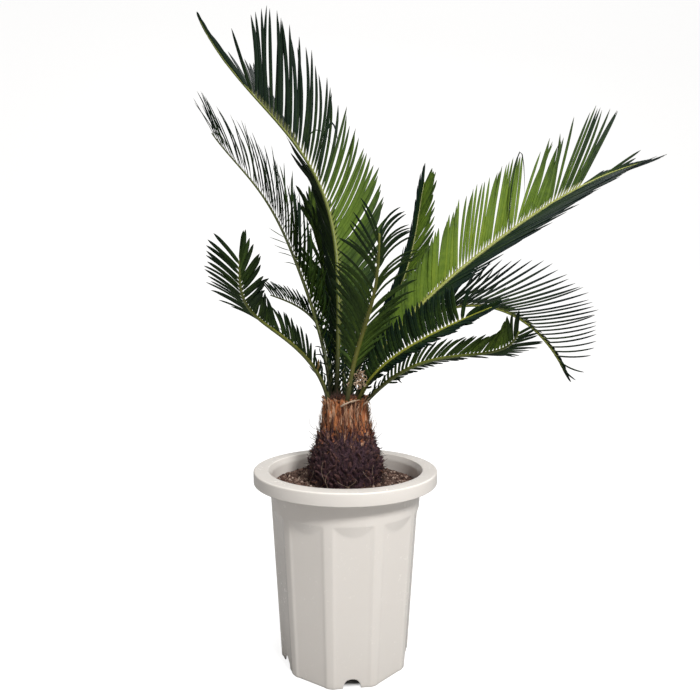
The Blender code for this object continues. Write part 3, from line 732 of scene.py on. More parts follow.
def make_scales(surface, stalks):
    """Scales in a spiral round the trunk: blunt leaf bases low down, long thin pointed ones higher up."""
    draw = np.random.default_rng(SEED + 1)
    pile = Pile()
    z, turn = SOIL_CROWN - 0.004, 0.0
    while z < TRUNK_TOP + 0.001:
        height = float(np.clip((z - SOIL_CROWN) / (TRUNK_TOP - SOIL_CROWN), 0, 1))
        upper = float(upper_part(height))
        radius = float(trunk_radius(z))
        z += (LOW_SPACE * (1 - upper) + HIGH_SPACE * upper) / (2 * pi * radius)
        turn += GOLDEN_TURN
        out = outward(turn + draw.normal(0, 0.03))
        across = np.cross((0, 0, 1), out)
        slope = float(trunk_radius(z + 0.004) - trunk_radius(z - 0.004)) / 0.008
        rise = unit(out * slope + (0, 0, 1))
        if draw.random() < 0.5 + 0.5 * upper:
            rise = unit(rise + across * draw.normal(0, 0.1 + 0.32 * (1 - upper)))
        is_long = draw.random() < upper
        if is_long:
            length = draw.uniform(0.02, 0.033) * (1 - 0.25 * (height > 0.9))
            width = draw.uniform(0.0014, 0.0036)
            stand = draw.uniform(0.001, 0.0056) + 0.0035 * draw.random() * float(smooth((height - 0.65) / 0.2))
            thick = draw.uniform(0.0008, 0.0017)
            shares, widths, heights = LONG_SCALE
            lift = stand * shares ** 1.3 + 0.0012
        else:
            length = draw.uniform(0.006, 0.013) * (1 + 0.25 * upper)
            width = draw.uniform(0.0012, 0.0038)
            stand, thick = draw.uniform(0.0018, 0.0078), draw.uniform(0.0009, 0.0022)
            shares, widths, heights = SHORT_SCALE
            lift = stand * shares ** 0.8 - 0.0006
        sideways = across * draw.normal(0, 0.0012 + 0.0022 * (1 - upper))
        length = max(min(length, TIP_LIMIT + draw.uniform(-0.007, 0.003) - z), 0.004)
        line = out * (radius - 0.002) + (0, 0, z) + rise * (length * shares)[:, None] + out * lift[:, None]
        line = line + sideways * (shares ** 2)[:, None]
        kept = len(line)
        if line[-1][2] > TRUNK_TOP - 0.006 and in_stalk(line[-1], stalks):
            kept = max(3, int(len(line) * 0.6))
        ragged = 1 + draw.normal(0, 0.07 + 0.12 * (1 - upper), kept)
        sweep(pile, line[:kept], np.tile(out, (kept, 1)), width * widths[:kept] * ragged,
              thick * heights[:kept], SCALE_SECTION, along=shares[:kept] * (1.0 if is_long else 0.6),
              tone=float(np.clip(height * 1.05 + draw.normal(0, 0.05), 0, 1)), draw=draw.random())
    return pile.make("caudex_scales", [surface], smooth=False)


def thread(pile, line, radius, tone, draw):
    """A thin tapering fibre along the line."""
    line = np.asarray(line, float)
    face = unit(np.cross(unit(line[-1] - line[0]), (0.3, 0.5, 0.81)))
    thin = radius * (1 - 0.85 * np.linspace(0, 1, len(line)) ** 1.5)
    sweep(pile, line, np.tile(face, (len(line), 1)), thin, thin, THREAD, tone=tone, draw=draw)


def make_fibres(surface, stalks):
    """Fuzz and broken fibres on the trunk, wool in the crown and fine rootlets down to the soil."""
    draw = np.random.default_rng(SEED + 2)
    pile = Pile()
    for _ in range(FUZZ):
        height = draw.random() ** 1.3
        z = SOIL_CROWN - 0.002 + (TRUNK_TOP - SOIL_CROWN) * height
        out = outward(draw.uniform(0, 2 * pi))
        upper = upper_part(height)
        rise = draw.normal(0.15, 0.55) * (1 - upper) + draw.normal(1.3, 0.4) * upper
        way = unit(out * draw.uniform(0.35, 1.0) * (1 - 0.75 * upper)
                   + np.cross((0, 0, 1), out) * draw.normal(0, 0.5) + np.array((0, 0, rise)))
        length = draw.uniform(0.004, 0.01) * (1 + 0.7 * upper)
        start = out * (float(trunk_radius(z)) + draw.uniform(0.0, 0.0035)) + (0, 0, z)
        bend = unit(draw.normal(0, 1, 3)) * length * 0.22
        line = [start + way * length * t + bend * t * t for t in (0, 0.35, 0.7, 1.0)]
        if line[-1][2] <= TIP_LIMIT:
            tone = 0.08 + 0.16 * draw.random() + upper * 0.42 + (draw.random() < 0.28) * 0.42 * draw.random()
            radius = draw.uniform(0.00018, 0.00036) * (1 + 0.7 * (1 - upper))
            thread(pile, line, radius, min(tone, 1), draw.random())
    for _ in range(WOOL):
        angle, radius = draw.uniform(0, 2 * pi), 0.0285 * sqrt(draw.random())
        start = outward(angle) * radius + (0, 0, TRUNK_TOP + 0.001)
        way = unit(np.array([draw.normal(0, 0.35), draw.normal(0, 0.35), 1.0]))
        bud = 0.0055 * max(0.0, 1 - np.hypot(start[0] + 0.01, start[1] + 0.021) / 0.009)
        length = draw.uniform(0.004, 0.01) * (1.25 - radius / 0.04) + 2 * bud
        bend = unit(draw.normal(0, 1, 3)) * length * 0.3
        line = [start + way * length * t + bend * t * t for t in (0, 0.4, 0.75, 1.0)]
        if not (in_stalk(line[-1], stalks) or in_stalk(line[1], stalks)):
            thread(pile, line, draw.uniform(0.0002, 0.0004), 0.16 + 0.3 * draw.random() ** 2, draw.random())
    for compass, top, drift, radius in ROOTLETS:
        line = []
        for t in np.linspace(0, 1, 16):
            z = top + (SOIL_CROWN + 0.0005 - top) * min(t * 1.35, 1)
            spread = max(t - 0.74, 0) / 0.26
            out = outward(radians(compass + drift * t + 4 * sin(6 * t + compass)))
            out *= float(trunk_radius(z)) + 0.0052 + 0.022 * spread + 0.001 * sin(9 * t + compass)
            if spread > 0:
                z = soil_level(out[0], out[1]) + 0.0012
            line.append(out + (0, 0, z))
        thread(pile, line, radius * 0.45, 0.95, 0.5)
    return pile.make("caudex_fibres", [surface])


def curve_through(points, count):
    """A smooth line through a few points."""
    points = np.asarray(points, float)
    fit = np.polyfit(np.linspace(0, 1, len(points)), points, len(points) - 1)
    return np.stack([np.polyval(fit[:, k], np.linspace(0, 1, count)) for k in range(3)], -1)


def make_strips(surface):
    """Frayed tan strips at the crown's rim, a few dry stalks, and curled dried leaflets in the crown."""
    draw = np.random.default_rng(SEED + 3)
    pile = Pile()
    count = 14
    for strip in STRIPS:
        out = outward(radians(strip.compass))
        axes = np.array([np.cross((0, 0, 1), out), out, (0, 0, 1)])
        foot = (out * strip.radius + (0, 0, strip.z)) * MM
        further = [foot + np.array(step) @ axes * MM for step in strip.steps]
        line = curve_through([foot - out * 0.002, *further], count)
        widths = strip.width * MM * (1 - 0.75 * np.linspace(0, 1, count) ** 2)
        faces = np.tile(out, (count, 1))
        sweep(pile, line, faces, widths, widths * 0.45, STRIP, tone=strip.tone, draw=draw.random())
    for _ in range(CURLS):
        centre = np.array([0.0175, -0.034, 0.3915]) + draw.normal(0, 1, 3) * (0.007, 0.003, 0.0052)
        axis = unit(draw.normal(0, 1, 3) + (0.5, 0, 0))
        flat = unit(np.cross(axis, draw.normal(0, 1, 3)))
        t = np.linspace(0, draw.uniform(1.2, 2.6) * pi, 18)
        radius = draw.uniform(0.0022, 0.0052) * (1 - 0.04 * t)
        other = np.cross(axis, flat)
        line = centre + flat * (np.cos(t) * radius)[:, None] + other * (np.sin(t) * radius)[:, None]
        line = line + axis * (t * draw.uniform(0.0004, 0.0013))[:, None]
        widths = 0.00095 * (1 - 0.8 * (t / t[-1]) ** 2)
        tone = draw.uniform(0.84, 1.0)
        sweep(pile, line, line - centre, widths, widths * 0.4, STRIP, tone=tone, draw=draw.random())
    return pile.make("dried_strips", [surface])


# Fronds

Keys = float | tuple  # one value, or share, value, share, value... along a frond's leafy part


class Rank(NamedTuple):
    """The leaflets of one side."""

    fold: Keys  # how far the rank is raised towards the way the stalk's face looks, degrees
    forward: Keys  # the leaflets' angle to the stalk, degrees
    tone: Keys  # 0 dark blue-green to 1 bright yellow-green: partly the leaflets' own colour, partly painted light, bright where light shines through them and dark where they are in shade
    sizes: Keys = (0, 0.25, 0.15, 0.6, 0.35, 0.95, 0.55, 1.0, 0.8, 0.85, 1, 0.5)
    turn: Keys = 0  # how far the blades are turned about their own length, degrees
    curl: Keys = 8  # how far they bend on towards the stalk's tip, degrees
    bow: Keys = -10  # how far they bend out of the rank's plane, degrees
    slim: Keys = 1  # their width, as a share of the frond's usual one
    dense: Keys = 1  # the share of them that has grown


class Frond(NamedTuple):
    """One frond, by the same angles and sizes as its solid, and what its true leaflets add to them."""

    base: tuple
    length: float
    leans: tuple
    headings: tuple
    face: tuple
    leaflet: float
    right: Rank
    left: Rank
    bare: float = 0.075
    pitch: float = 0.008  # between neighbours of one rank
    width: float = 0.0062
    thick: float = 0.0016
    calm: float = 1.0  # how much its leaflets differ from their neighbours
    stalk: tuple = (0.35, 0.0)  # the stalk's own tone and warmth
    pale: float = 0.5  # how pale the leaflets' roots are


FRONDS = {
    "frond_01": Frond(
        (-.015, .004), .669, (7, 13, 39, 26), (41, 115, 162, 197), ((54, 0), (38, 25)), .172,
        Rank((0, 20, .25, 22, .45, 30, .56, 60, .66, 82, 1, 88), (0, 50, .15, 28, .5, 26, .76, 34, .79, 10,
            1, 5), (0, .12, 1, .1), (0, .2, .1, .45, .2, .62, .45, .78, .66, .85, .77, .55, .85, .33, 1, .1),
            curl=5, bow=-5),
        Rank(36, (0, 60, .2, 40, .32, 38, .45, 34, .55, 37, .68, 41, .765, 39, .78, 9, 1, 4), (0, .12,
            .12, .24, .2, .44, .27, .62, .34, .62, .41, .38, .48, .1, .56, 0, 1, -.05), (0, .2, .1, .5,
            .2, .7, .28, .76, .34, .73, .42, .78, .47, .86, .55, .99, .6, 1, .66, .95, .72, .87, .765, .73,
            .78, .5, .88, .36, 1, .1), curl=(0, 8, .5, 6, .65, 2), bow=-5, slim=(0, 1.1, .29, 1.15, .36, .76,
            .5, .78, .6, .95, 1, 1)), stalk=(.5, .05)),
    "frond_02": Frond(
        (-.0215, .007), .517, (2, 28, 38, 44), (133, 133, 138, 225), ((-10, 30), (-10, 40)), .122,
        Rank(50, (0, 60, .5, 34, .8, 30, .9, 22, 1, 8), (0, .38, .5, .26, 1, .12), (0, .25, .15, .6, .35, .9,
            .55, .95, .75, .84, .88, .72, .94, .64, 1, .52), turn=(0, 60, .4, 84), curl=(0, 6, .5, 2),
            slim=(0, 2.4, .3, 1.9, .5, 1, 1, 1)),
        Rank(50, (0, 60, .5, 36, .8, 34, .9, 32, 1, 24), (0, .38, .5, .26, 1, .12), (0, .25, .15, .6,
            .35, .9, .55, .95, .75, .86, .88, .76, .94, .7, 1, .58), turn=(0, 60, .4, 84), slim=(0, 2.4,
            .3, 1.9, .5, 1, 1, 1)), pitch=.008, width=.0024, thick=.0007, calm=1.8, stalk=(.15, 0)),
    "frond_03": Frond(
        (-.0225, -.008), .278, (8, 48, 62, 15), (201, 211, 245, 292), ((20, 40), (80, 20)), .055,
        Rank((0, 50, 1, 2), (0, 60, .4, 50, .6, 68, .8, 60, 1, 46), (0, .25, 1, .18), (0, .35, .2, .7,
            .5, .85, .6, 1.02, .85, .98, 1, .75), curl=(0, 5, .6, -6), slim=(0, 1, .5, 1, .7, 1.35,
            1, 1.35)),
        Rank((0, 50, 1, 2), (0, 40, .1, 32, .35, 33, .5, 38, .62, 46, .74, 45, .87, 27, .95, 6, 1, -4),
            (0, .22, .7, .22, 1, .35), (0, .4, .1, .8, .23, .95, .36, 1.05, .5, .92, .62, .8, .74, .9,
            .87, .95, .95, .8, 1, .6), curl=3, slim=(0, 1, .4, 1, .6, 1.35, 1, 1.35)), bare=.06, pitch=.0064,
            width=.0044, calm=1.3, stalk=(.45, .1)),
    "frond_04": Frond(
        (-.0195, .014), .226, (6, 22, 52, 72), (105, 117, 146, 187), ((0, 20), (0, 50)), .05,
        Rank(50, (0, 60, .5, 50, 1, 45), (0, .15, 1, .2), (0, .3, .3, .6, .6, .8, .9, .7, 1, .5), turn=80),
        Rank((0, 20, .5, 30, 1, 50), (0, 60, .5, 50, 1, 40), (0, .15, 1, .2), (0, .5, .3, .6, .6, .8, .9, .8,
            1, .6), turn=80), bare=.06, pitch=.0052, width=.0036, thick=.001, calm=1.4, stalk=(.2, 0)),
    "frond_05": Frond(
        (-.009, .018), .36, (30, 23, 19, 33), (98, 106, 118, 142), ((-60, 10), (-60, 20)), .072,
        Rank(38, (0, 65, .5, 45, 1, 22), (0, .55, 1, .5)),
        Rank(38, (0, 65, .5, 45, 1, 22), (0, .45, 1, .4), turn=60), pitch=.0062, width=.006, stalk=(.75,
            .1)),
    "frond_06": Frond(
        (-.001, .024), .33, (14, 40, 52, 62), (96, 92, 88, 85), ((-90, 30), (-90, 60)), .08,
        Rank(38, (0, 65, .5, 50, 1, 25), (0, .35, 1, .4)),
        Rank(38, (0, 65, .5, 50, 1, 25), (0, .25, 1, .3)), pitch=.007),
    "frond_07": Frond(
        (.001, -.021), .28, (23, 36, 53, 34), (281, 291, 278, 269), ((95, 30), (95, 40)), .085,
        Rank((0, 30, 1, 20), (0, 50, .3, 42, .5, 42, .75, 40, 1, 18), (0, .4, .6, .34, 1, .16), (0, .25,
            .15, .6, .35, .9, .5, .88, .7, .8, .85, .66, 1, .5), turn=12, curl=(0, -8, .38, -10, .5, -16,
            .75, -12, .9, -4), bow=-14, slim=(0, 1.1, .4, .95, .55, .72, 1, .6), dense=(0, 1, .5, 1, .54, .6,
            1, .7)),
        Rank((0, 30, 1, 20), (0, 50, .3, 42, .6, 40, .85, 38, 1, 22), (0, .4, .6, .34, 1, .16), (0, .25,
            .15, .65, .35, .95, .55, .85, .8, .7, 1, .45), turn=12, curl=(0, -6, .4, -16, .8, -26), bow=-14,
            slim=(0, 1.1, .3, .9, .4, .7, 1, .6), dense=(0, 1, .28, 1, .32, .5, .46, .5, .48, .1, .54, .1,
            .56, .7, .66, .7, .68, .1, .74, .1, .76, .8, 1, .8)), bare=.06, pitch=.0054, width=.005,
            thick=.0012, calm=1.5, stalk=(.8, .35)),
    "frond_08": Frond(
        (.005, .02), .402, (14, 38, 19, 15), (65, 40, 35, 31), ((-85, 10), (-85, 15)), .07,
        Rank(45, (0, 50, .5, 30, .8, 24, 1, 14), (0, .4, .4, .54, 1, .52), (0, .25, .15, .6, .4, .8, .6, .85,
            .85, .9, 1, .4)),
        Rank(62, (0, 40, .5, 28, 1, 18), (0, .12, 1, .1)), pitch=.0062, width=.0054, stalk=(.5, 0)),
    "frond_09": Frond(
        (.01, .002), .628, (19, 48, 57, 78), (19, 11, 12, -4), ((-110, 20), (-112, 30)), .142,
        Rank(36, (0, 50, .2, 36, .5, 29, .7, 26, .8, 24, .9, 18, 1, 8), (0, .1, 1, .12), (0, .2, .22, .63,
            .33, .85, .6, 1, .76, .95, .84, .6, .92, .24, 1, .05), curl=4, bow=-4),
        Rank(36, (0, 58, .12, 46, .2, 42, .32, 48, .43, 42, .5, 44, .545, 46, .556, 32, .6, 38, .61, 34,
            .68, 45, .69, 36, .775, 33, .78, 5, .84, 5, .86, 13, .9, 6, 1, 4), (0, .26, .12, .52, .25, .74,
            .5, .72, .6, .56, .72, .36, .78, .28, .95, .15), (0, .2, .22, .58, .33, .78, .45, .9, .5, .9,
            .545, .8, .556, 1, .6, .92, .62, .76, .67, .8, .7, 1.15, .775, 1, .78, .34, .84, .28, .855, .5,
            .87, .5, .88, .22, 1, .06), curl=(0, 5, .4, 2, .6, 0), bow=-4, slim=(0, 1.6, .22, 1.4, .34, .9,
            1, .88)), pitch=.0062, width=.005, calm=.7, stalk=(.7, 0), pale=1),
    "frond_10": Frond(
        (.015, -.013), .248, (22, 53, 65, 71), (303, 321, 324, 322), ((-110, 40), (-110, 40)), .058,
        Rank(30, (0, 60, .75, 40, .85, 26, 1, 12), (0, .15, 1, .12), (0, .4, .2, .7, .5, .8, .78, .7,
            1, .3)),
        Rank(40, (0, 72, .79, 80, .815, 18, 1, 8), (0, .26, 1, .24), (0, .35, .2, .72, .5, .8, .79, .78,
            .815, .4, 1, .3)), bare=.05, pitch=.0052, width=.0064, stalk=(1, 0), pale=.9),
    "frond_11": Frond(
        (.015, .014), .506, (28, 60, 106, 150), (33, 25, 21, 15), ((200, 40), (10, 50)), .155,
        Rank((0, 55, 1, 50), (0, 60, .3, 32, .5, 28, .7, 46, .85, 64, .93, 60, .955, 14, 1, 6), (0, .12,
            1, .15), (0, .25, .25, .7, .45, 1, .58, .92, .72, .72, .85, .52, .93, .36, 1, .15), turn=70,
            curl=(0, -6, .5, -10, .8, -14)),
        Rank((0, 55, 1, 50), (0, 60, .3, 32, .5, 26, .7, 16, .85, 9, 1, 5), (0, .12, .5, .15, .6, .5, .7, .3,
            .8, .12), (0, .25, .25, .7, .42, .85, .52, .45, .6, .25, .7, .22, .85, .3, 1, .2), turn=(0, 70,
            .5, 60, .58, 10, .7, 10, .8, 60), curl=-4), pitch=.0104, width=.005, thick=.003, calm=.6,
            stalk=(.6, 0)),
    "frond_12": Frond(
        (.02, -.004), .266, (44, 63, 84, 37), (349, 345, 326, 272), ((160, 40), (60, 40)), .052,
        Rank((0, 42, 1, 15), (0, 60, .3, 38, .6, 34, .78, 44, .9, 36, 1, 8), (0, .3, .4, .3, .6, .55,
            .85, .6, .92, .2), (0, .25, .15, .55, .35, .85, .6, .95, .85, .9, 1, .7), curl=4),
        Rank((0, -15, .3, 5, .6, 30, 1, 15), (0, 60, .5, 42, .8, 44, 1, 40), .15, (0, .35, .3, .5, .6, .8,
            .85, .78, .93, .6, 1, .3), curl=0), bare=.05, pitch=.0058, width=.0046, calm=1.3, stalk=(.45,
            0)),
}


class Stray(NamedTuple):
    """A leaflet or hair that leaves its rank: its place on the leafy part and its path, in millimetres."""

    leafy: float
    steps: tuple  # sideways, back and up from its root
    width: float
    tone: float
    dry: float = 0.0


STRAYS = {
    "frond_09": (
        Stray(.525, ((-3, -4, 26), (2, -4, 74), (11, -4, 116), (18.5, -4, 102), (20.5, -4, 52)), 2, .25),
    ),
    "frond_01": (
        Stray(.54, ((6, -10, 21), (13, -13, 34), (27, -15, 35), (45, -15, 10)), 1.8, .3),
        Stray(.45, ((6, -4, 50), (15, -6, 86), (24, -8, 84), (30, -8, 50)), 3, .1),
    ),
    "frond_03": (
        Stray(.07, ((0, -2, 8), (-1, -3, 17)), 4.6, 1, .35),
        Stray(-.03, ((1, -2, 10), (2, -3, 21)), 4, .3, .9),
    ),
    "frond_02": (
        Stray(.47, ((-14, 0, 8), (-28, 0, 17)), 1.2, .3),
        Stray(.44, ((-15, 0, 6), (-32, 0, 12)), 1.2, .25),
        Stray(.41, ((-14, 0, 4), (-28, 0, 10)), 1.2, .25),
        Stray(.38, ((-12, 0, 5), (-26, 0, 8)), 1.2, .3),
        Stray(.34, ((-10, 0, 5), (-21, 0, 6)), 1.2, .25),
    ),
    "frond_04": (
        Stray(.12, ((-8, 0, 6), (-16, 0, 9), (-21, 0, 7)), 1.6, .1),
        Stray(.05, ((-9, 0, 6), (-18, 0, 8), (-23, 0, 4)), 1.6, .1),
        Stray(-.03, ((-8, 0, 6), (-15, 0, 9), (-19, 0, 6)), 1.6, .1),
        Stray(-.12, ((-7, 0, 5), (-13, 0, 9), (-17, 0, 8)), 1.6, .1),
    ),
    "frond_12": (
        Stray(.03, ((6, -1, 4), (12, -1, -1)), 2, .1),
        Stray(.08, ((5, -2, -4), (11, -2, -10)), 2.2, .1),
    ),
}


SIDES = ((1, 0.0), (-1, 0.5))  # right and left rank, and how far each is shifted along, in pitches
STALK_FOOT = 0.0033
STALK_TIP = 0.0011
LAST_LEAFLET = 0.99  # its place, as a share of the stalk
SPINE_PITCH = 0.0062
FIRST_SPINE = 0.02
PLAIN_FOOT = 0.016  # the part of a stalk that has no spines
LEAFLET_ROOM, SPINE_ROOM, STALK_SKIN = 0.0005, 0.0003, 0.0003  # what they keep from the other pieces
STALK_SECTION = circle(12, 0.92)
BLADE_SECTION = np.array([(-1.0, -0.42), (-0.9, 0.12), (-0.45, 0.3), (0.0, 0.08), (0.45, 0.3), (0.9, 0.12),
                          (1.0, -0.42), (0.55, -0.22), (0.0, -0.62), (-0.55, -0.22)])
BLADE_UNDER = np.array([1, 0, 0, 0, 0, 0, 1, 1, 1, 1])
BLADE_SHARES = np.array([0, 0.03, 0.07, 0.14, 0.26, 0.4, 0.54, 0.68, 0.8, 0.9, 0.96, 1.0])
BLADE_WIDTHS = np.array([0.5, 0.5, 0.72, 0.93, 1.0, 1.0, 1.0, 0.96, 0.86, 0.6, 0.3, 0.05])
BLADE_HEIGHTS = np.array([1.0, 0.9, 0.9, 1, 1, 1, 1, 0.95, 0.85, 0.65, 0.4, 0.15])
# How a leaflet gives way to a neighbour, the least first: raised by and forward by in degrees, and its size
POSES = [(raised, forward, size) for size in (1.0, 0.8, 0.6, 0.4) for forward in (0, -12, 12, -25)
         for raised in (0, 9, -9, 20, -20, 34, -34)]


def along_keys(keys, share):
    return float(np.interp(share, keys[::2], keys[1::2])) if isinstance(keys, tuple) else keys


def direction(compass, height):
    compass, height = radians(compass), radians(height)
    return np.array([cos(height) * cos(compass), cos(height) * sin(compass), sin(height)])


class Stalk:
    """A frond's smooth stalk curve, with its direction and the way its face looks, by share of its length."""

    STEPS = 96

    def __init__(self, frond):
        self.frond = frond
        keys = (0, 1 / 3, 2 / 3, 1)
        lean, heading = np.polyfit(keys, frond.leans, 3), np.polyfit(keys, frond.headings, 3)
        points, ways = [np.array((*frond.base, TRUNK_TOP - START_DEPTH))], []
        for i in range(self.STEPS):
            share = (i + 0.5) / self.STEPS
            ways.append(direction(np.polyval(heading, share), 90 - np.polyval(lean, share)))
            points.append(points[-1] + ways[-1] * frond.length / self.STEPS)
        self.points, self.ways = np.array(points), np.array(ways)

    def at(self, share):
        """Place, direction along the stalk, direction its face looks, direction to its right."""
        x = min(max(share, 0), 1) * self.STEPS
        i = min(int(x), self.STEPS - 1)
        place = self.points[i] + (self.points[i + 1] - self.points[i]) * (x - i)
        j = min(max(x - 0.5, 0), self.STEPS - 1)
        k = min(int(j), self.STEPS - 2)
        way = unit(self.ways[k] + (self.ways[k + 1] - self.ways[k]) * (j - k))
        look = direction(*self.frond.face[0]) * (1 - share) + direction(*self.frond.face[1]) * share
        look = unit(look - way * (look @ way))
        return place, way, look, np.cross(way, look)

    def radius(self, share):
        return STALK_FOOT + (STALK_TIP - STALK_FOOT) * share ** 1.35

    def flank(self, share, side, fold):
        """A leaflet's start on the stalk's side, and the directions along the stalk, out and of its face."""
        place, way, look, right = self.at(share)
        out = right * side * cos(fold) + look * sin(fold)
        face = look * cos(fold) - right * side * sin(fold)
        return place + out * self.radius(share) * 0.35, way, out, face

    def tube(self, pile, shares, radii, section, **marks):
        places, _, looks, _ = zip(*(self.at(share) for share in shares))
        sweep(pile, places, np.array(looks), radii, radii, section, **marks)


class Blade(NamedTuple):
    """A leaflet's middle line, its upper face's direction along it and its half width."""

    line: np.ndarray
    faces: np.ndarray
    half: float


def follow(start, steps, length):
    """The line from start that runs along steps, the directions at the blade's shares."""
    moves = (steps[1:] + steps[:-1]) / 2 * (np.diff(BLADE_SHARES)[:, None] * length)
    return np.concatenate([[start], start + np.cumsum(moves, axis=0)])


def blade_of(stalk, rank, share, leafy, side, pose, jitter):
    """A leaflet out of the stalk's flank that bends on to its tip, with its own small differences."""
    raise_by, forward_by, size = pose
    fold = radians(along_keys(rank.fold, leafy) + raise_by + jitter[0])
    start, way, out, face = stalk.flank(share, side, fold)
    length = stalk.frond.leaflet * along_keys(rank.sizes, leafy) * size * (1 + jitter[1])
    angle = along_keys(rank.forward, leafy) + forward_by + jitter[2]
    curl = along_keys(rank.curl, leafy) + jitter[3]
    turned = radians(1) * np.maximum(angle + curl * (0.9 - 2.4 * BLADE_SHARES), 3)[:, None]
    bow = (radians(along_keys(rank.bow, leafy) + jitter[4]) * BLADE_SHARES ** 1.5)[:, None]
    steps = way * np.cos(turned) + (out * np.cos(bow) + face * np.sin(bow)) * np.sin(turned)
    twist = radians(along_keys(rank.turn, leafy) + jitter[5]) * smooth(BLADE_SHARES / 0.12) * side
    faces = turn_about(face * np.cos(bow) - out * np.sin(bow), unit(steps), twist)
    half = stalk.frond.width / 2 * (0.72 + 0.28 * min(length / 0.1, 1)) * along_keys(rank.slim, leafy)
    return Blade(follow(start, steps, length), faces, half)


def spine_of(stalk, height, side, draw):
    """A short stiff spine where the lowest leaflets have shrunk."""
    length = 0.009 + 0.018 * (height / stalk.frond.bare) ** 2
    start, way, out, face = stalk.flank(height / stalk.frond.length, side, radians(30 + draw.normal(0, 14)))
    turned = (radians(62 + draw.normal(0, 8)) - radians(46) * BLADE_SHARES)[:, None]
    line = follow(start, way * np.cos(turned) + out * np.sin(turned), length)
    return Blade(line, np.tile(face, (len(line), 1)), 0.0011 + 0.0006 * length / 0.03)


def coarse_shape(blade, extra):
    """A plain three-sided stand-in for the leaflet, swollen by extra, for crossing tests."""
    root, middle, tip = blade.line[0], blade.line[5], blade.line[-1]
    rows, half = [], blade.half + extra
    for point, after, face in ((root, middle, blade.faces[2]), (middle, tip, blade.faces[5])):
        way = unit(after - point)
        side = unit(np.cross(way, face))
        up = np.cross(side, way)
        rows += [point - side * half, point + side * half]
        rows += [point - up * (0.0009 + extra), point + up * (0.0005 + extra)]
    rows.append(tip + unit(tip - middle) * extra)
    tris = []
    for a, b in ((0, 2), (2, 1), (1, 3), (3, 0)):
        tris += [(a, b, b + 4), (a, b + 4, a + 4), (a + 4, b + 4, 8)]
    return rows, tris


def tree_of(rows, tris):
    return BVHTree.FromPolygons([tuple(row) for row in rows], tris)


def rod_tree(stalk, extra):
    """The stalk's own body for crossing tests, swollen by extra."""
    pile, shares = Pile(), np.linspace(0, 1, 40)
    stalk.tube(pile, shares, np.array([stalk.radius(s) + extra for s in shares]), circle(6))
    quads = pile.quads[0][0]
    tris = np.concatenate([quads[:, :3], quads[:, [0, 2, 3]], pile.tris[0][0]])
    return tree_of(pile.points[0], tris.tolist())


def node_tree(name):
    mesh = frame["nodes"][name].data
    mesh.calc_loop_triangles()
    return BVHTree.FromPolygons([v.co for v in mesh.vertices], [tuple(t.vertices) for t in mesh.loop_triangles])


def add_stalk(pile, stalk, draw):
    frond = stalk.frond
    shares = np.linspace(0, 1, max(ceil(frond.length / 0.007), 24) + 1)
    radii = np.array([stalk.radius(s) for s in shares]) * (1 + 0.35 * np.exp(-shares * frond.length / 0.012))
    under = np.tile([y < -0.1 for _, y in STALK_SECTION], (len(shares), 1))
    stalk.tube(pile, shares, radii, STALK_SECTION, slot=1, along=shares, under=under, tone=frond.stalk[0],
               warm=frond.stalk[1] * (1 - shares ** 2 * 0.5), draw=draw)


def add_blade(pile, blade, thick, **marks):
    shape = (len(BLADE_SHARES), 1)
    sweep(pile, blade.line, blade.faces, blade.half * BLADE_WIDTHS, thick * BLADE_HEIGHTS, BLADE_SECTION,
          along=BLADE_SHARES, across=np.tile(BLADE_SECTION[:, 0], shape), under=np.tile(BLADE_UNDER, shape),
          **marks)


def make_frond(pile, stalk, others, strays, draw):
    """Adds a frond's parts to the pile, clear of others, and returns its coarse leaflets' tree."""
    frond = stalk.frond
    bare = frond.bare / frond.length

    def clear(blade, extra):
        swollen = tree_of(*coarse_shape(blade, extra))
        return not any(swollen.overlap(other) for other in others)

    add_stalk(pile, stalk, draw.random())
    count = round((frond.length - frond.bare) / frond.pitch)
    rows, tris, drift = [], [], {1: 0.0, -1: 0.0}
    for i in range(count):
        for side, shift in SIDES:
            share = bare + (LAST_LEAFLET - bare) * (i + shift + 0.25) / count
            leafy = (share - bare) / (1 - bare)
            rank = frond.right if side > 0 else frond.left
            grown = along_keys(rank.dense, leafy)
            if grown < 1 and draw.random() > grown:
                continue
            drift[side] = 0.6 * drift[side] + draw.normal(0, 1.6)
            jitter = (draw.normal(0, 1.6), draw.normal(0, 0.035), drift[side], draw.normal(0, 3.0),
                      draw.normal(0, 4.0), draw.normal(0, 7.0))
            jitter = [value * frond.calm for value in jitter]
            tries = (blade_of(stalk, rank, share, leafy, side, pose, jitter) for pose in POSES)
            blade = next((blade for blade in tries if clear(blade, LEAFLET_ROOM)), None)
            if blade:
                # The tone mark carries the rank's own colour and painted light: the glow of light shining
                # through, and shade.
                add_blade(pile, blade, frond.thick, tone=along_keys(rank.tone, leafy), draw=draw.random(),
                          pale=frond.pale)
                own, faces = coarse_shape(blade, 0.0)
                tris += [tuple(k + len(rows) for k in face) for face in faces]
                rows += own
    for i in range(int((frond.bare - PLAIN_FOOT) / SPINE_PITCH)):
        for side, shift in SIDES:
            blade = spine_of(stalk, FIRST_SPINE + (i + shift) * SPINE_PITCH, side, draw)
            if clear(blade, SPINE_ROOM):
                add_blade(pile, blade, 0.0008, tone=0.1, draw=draw.random(), pale=0.2)
    for stray in strays:
        root = stalk.at(bare + stray.leafy * (1 - bare))[0]
        line = curve_through([root, *(root + np.array(step) * MM for step in stray.steps)], len(BLADE_SHARES))
        blade = Blade(line, np.tile((0.1, -1.0, 0.1), (len(line), 1)), stray.width * MM / 2)
        if clear(blade, 0.0):
            add_blade(pile, blade, min(0.001, blade.half), tone=stray.tone, draw=draw.random(), pale=0.0,
                      dry=stray.dry)
    return tree_of(rows, tris)


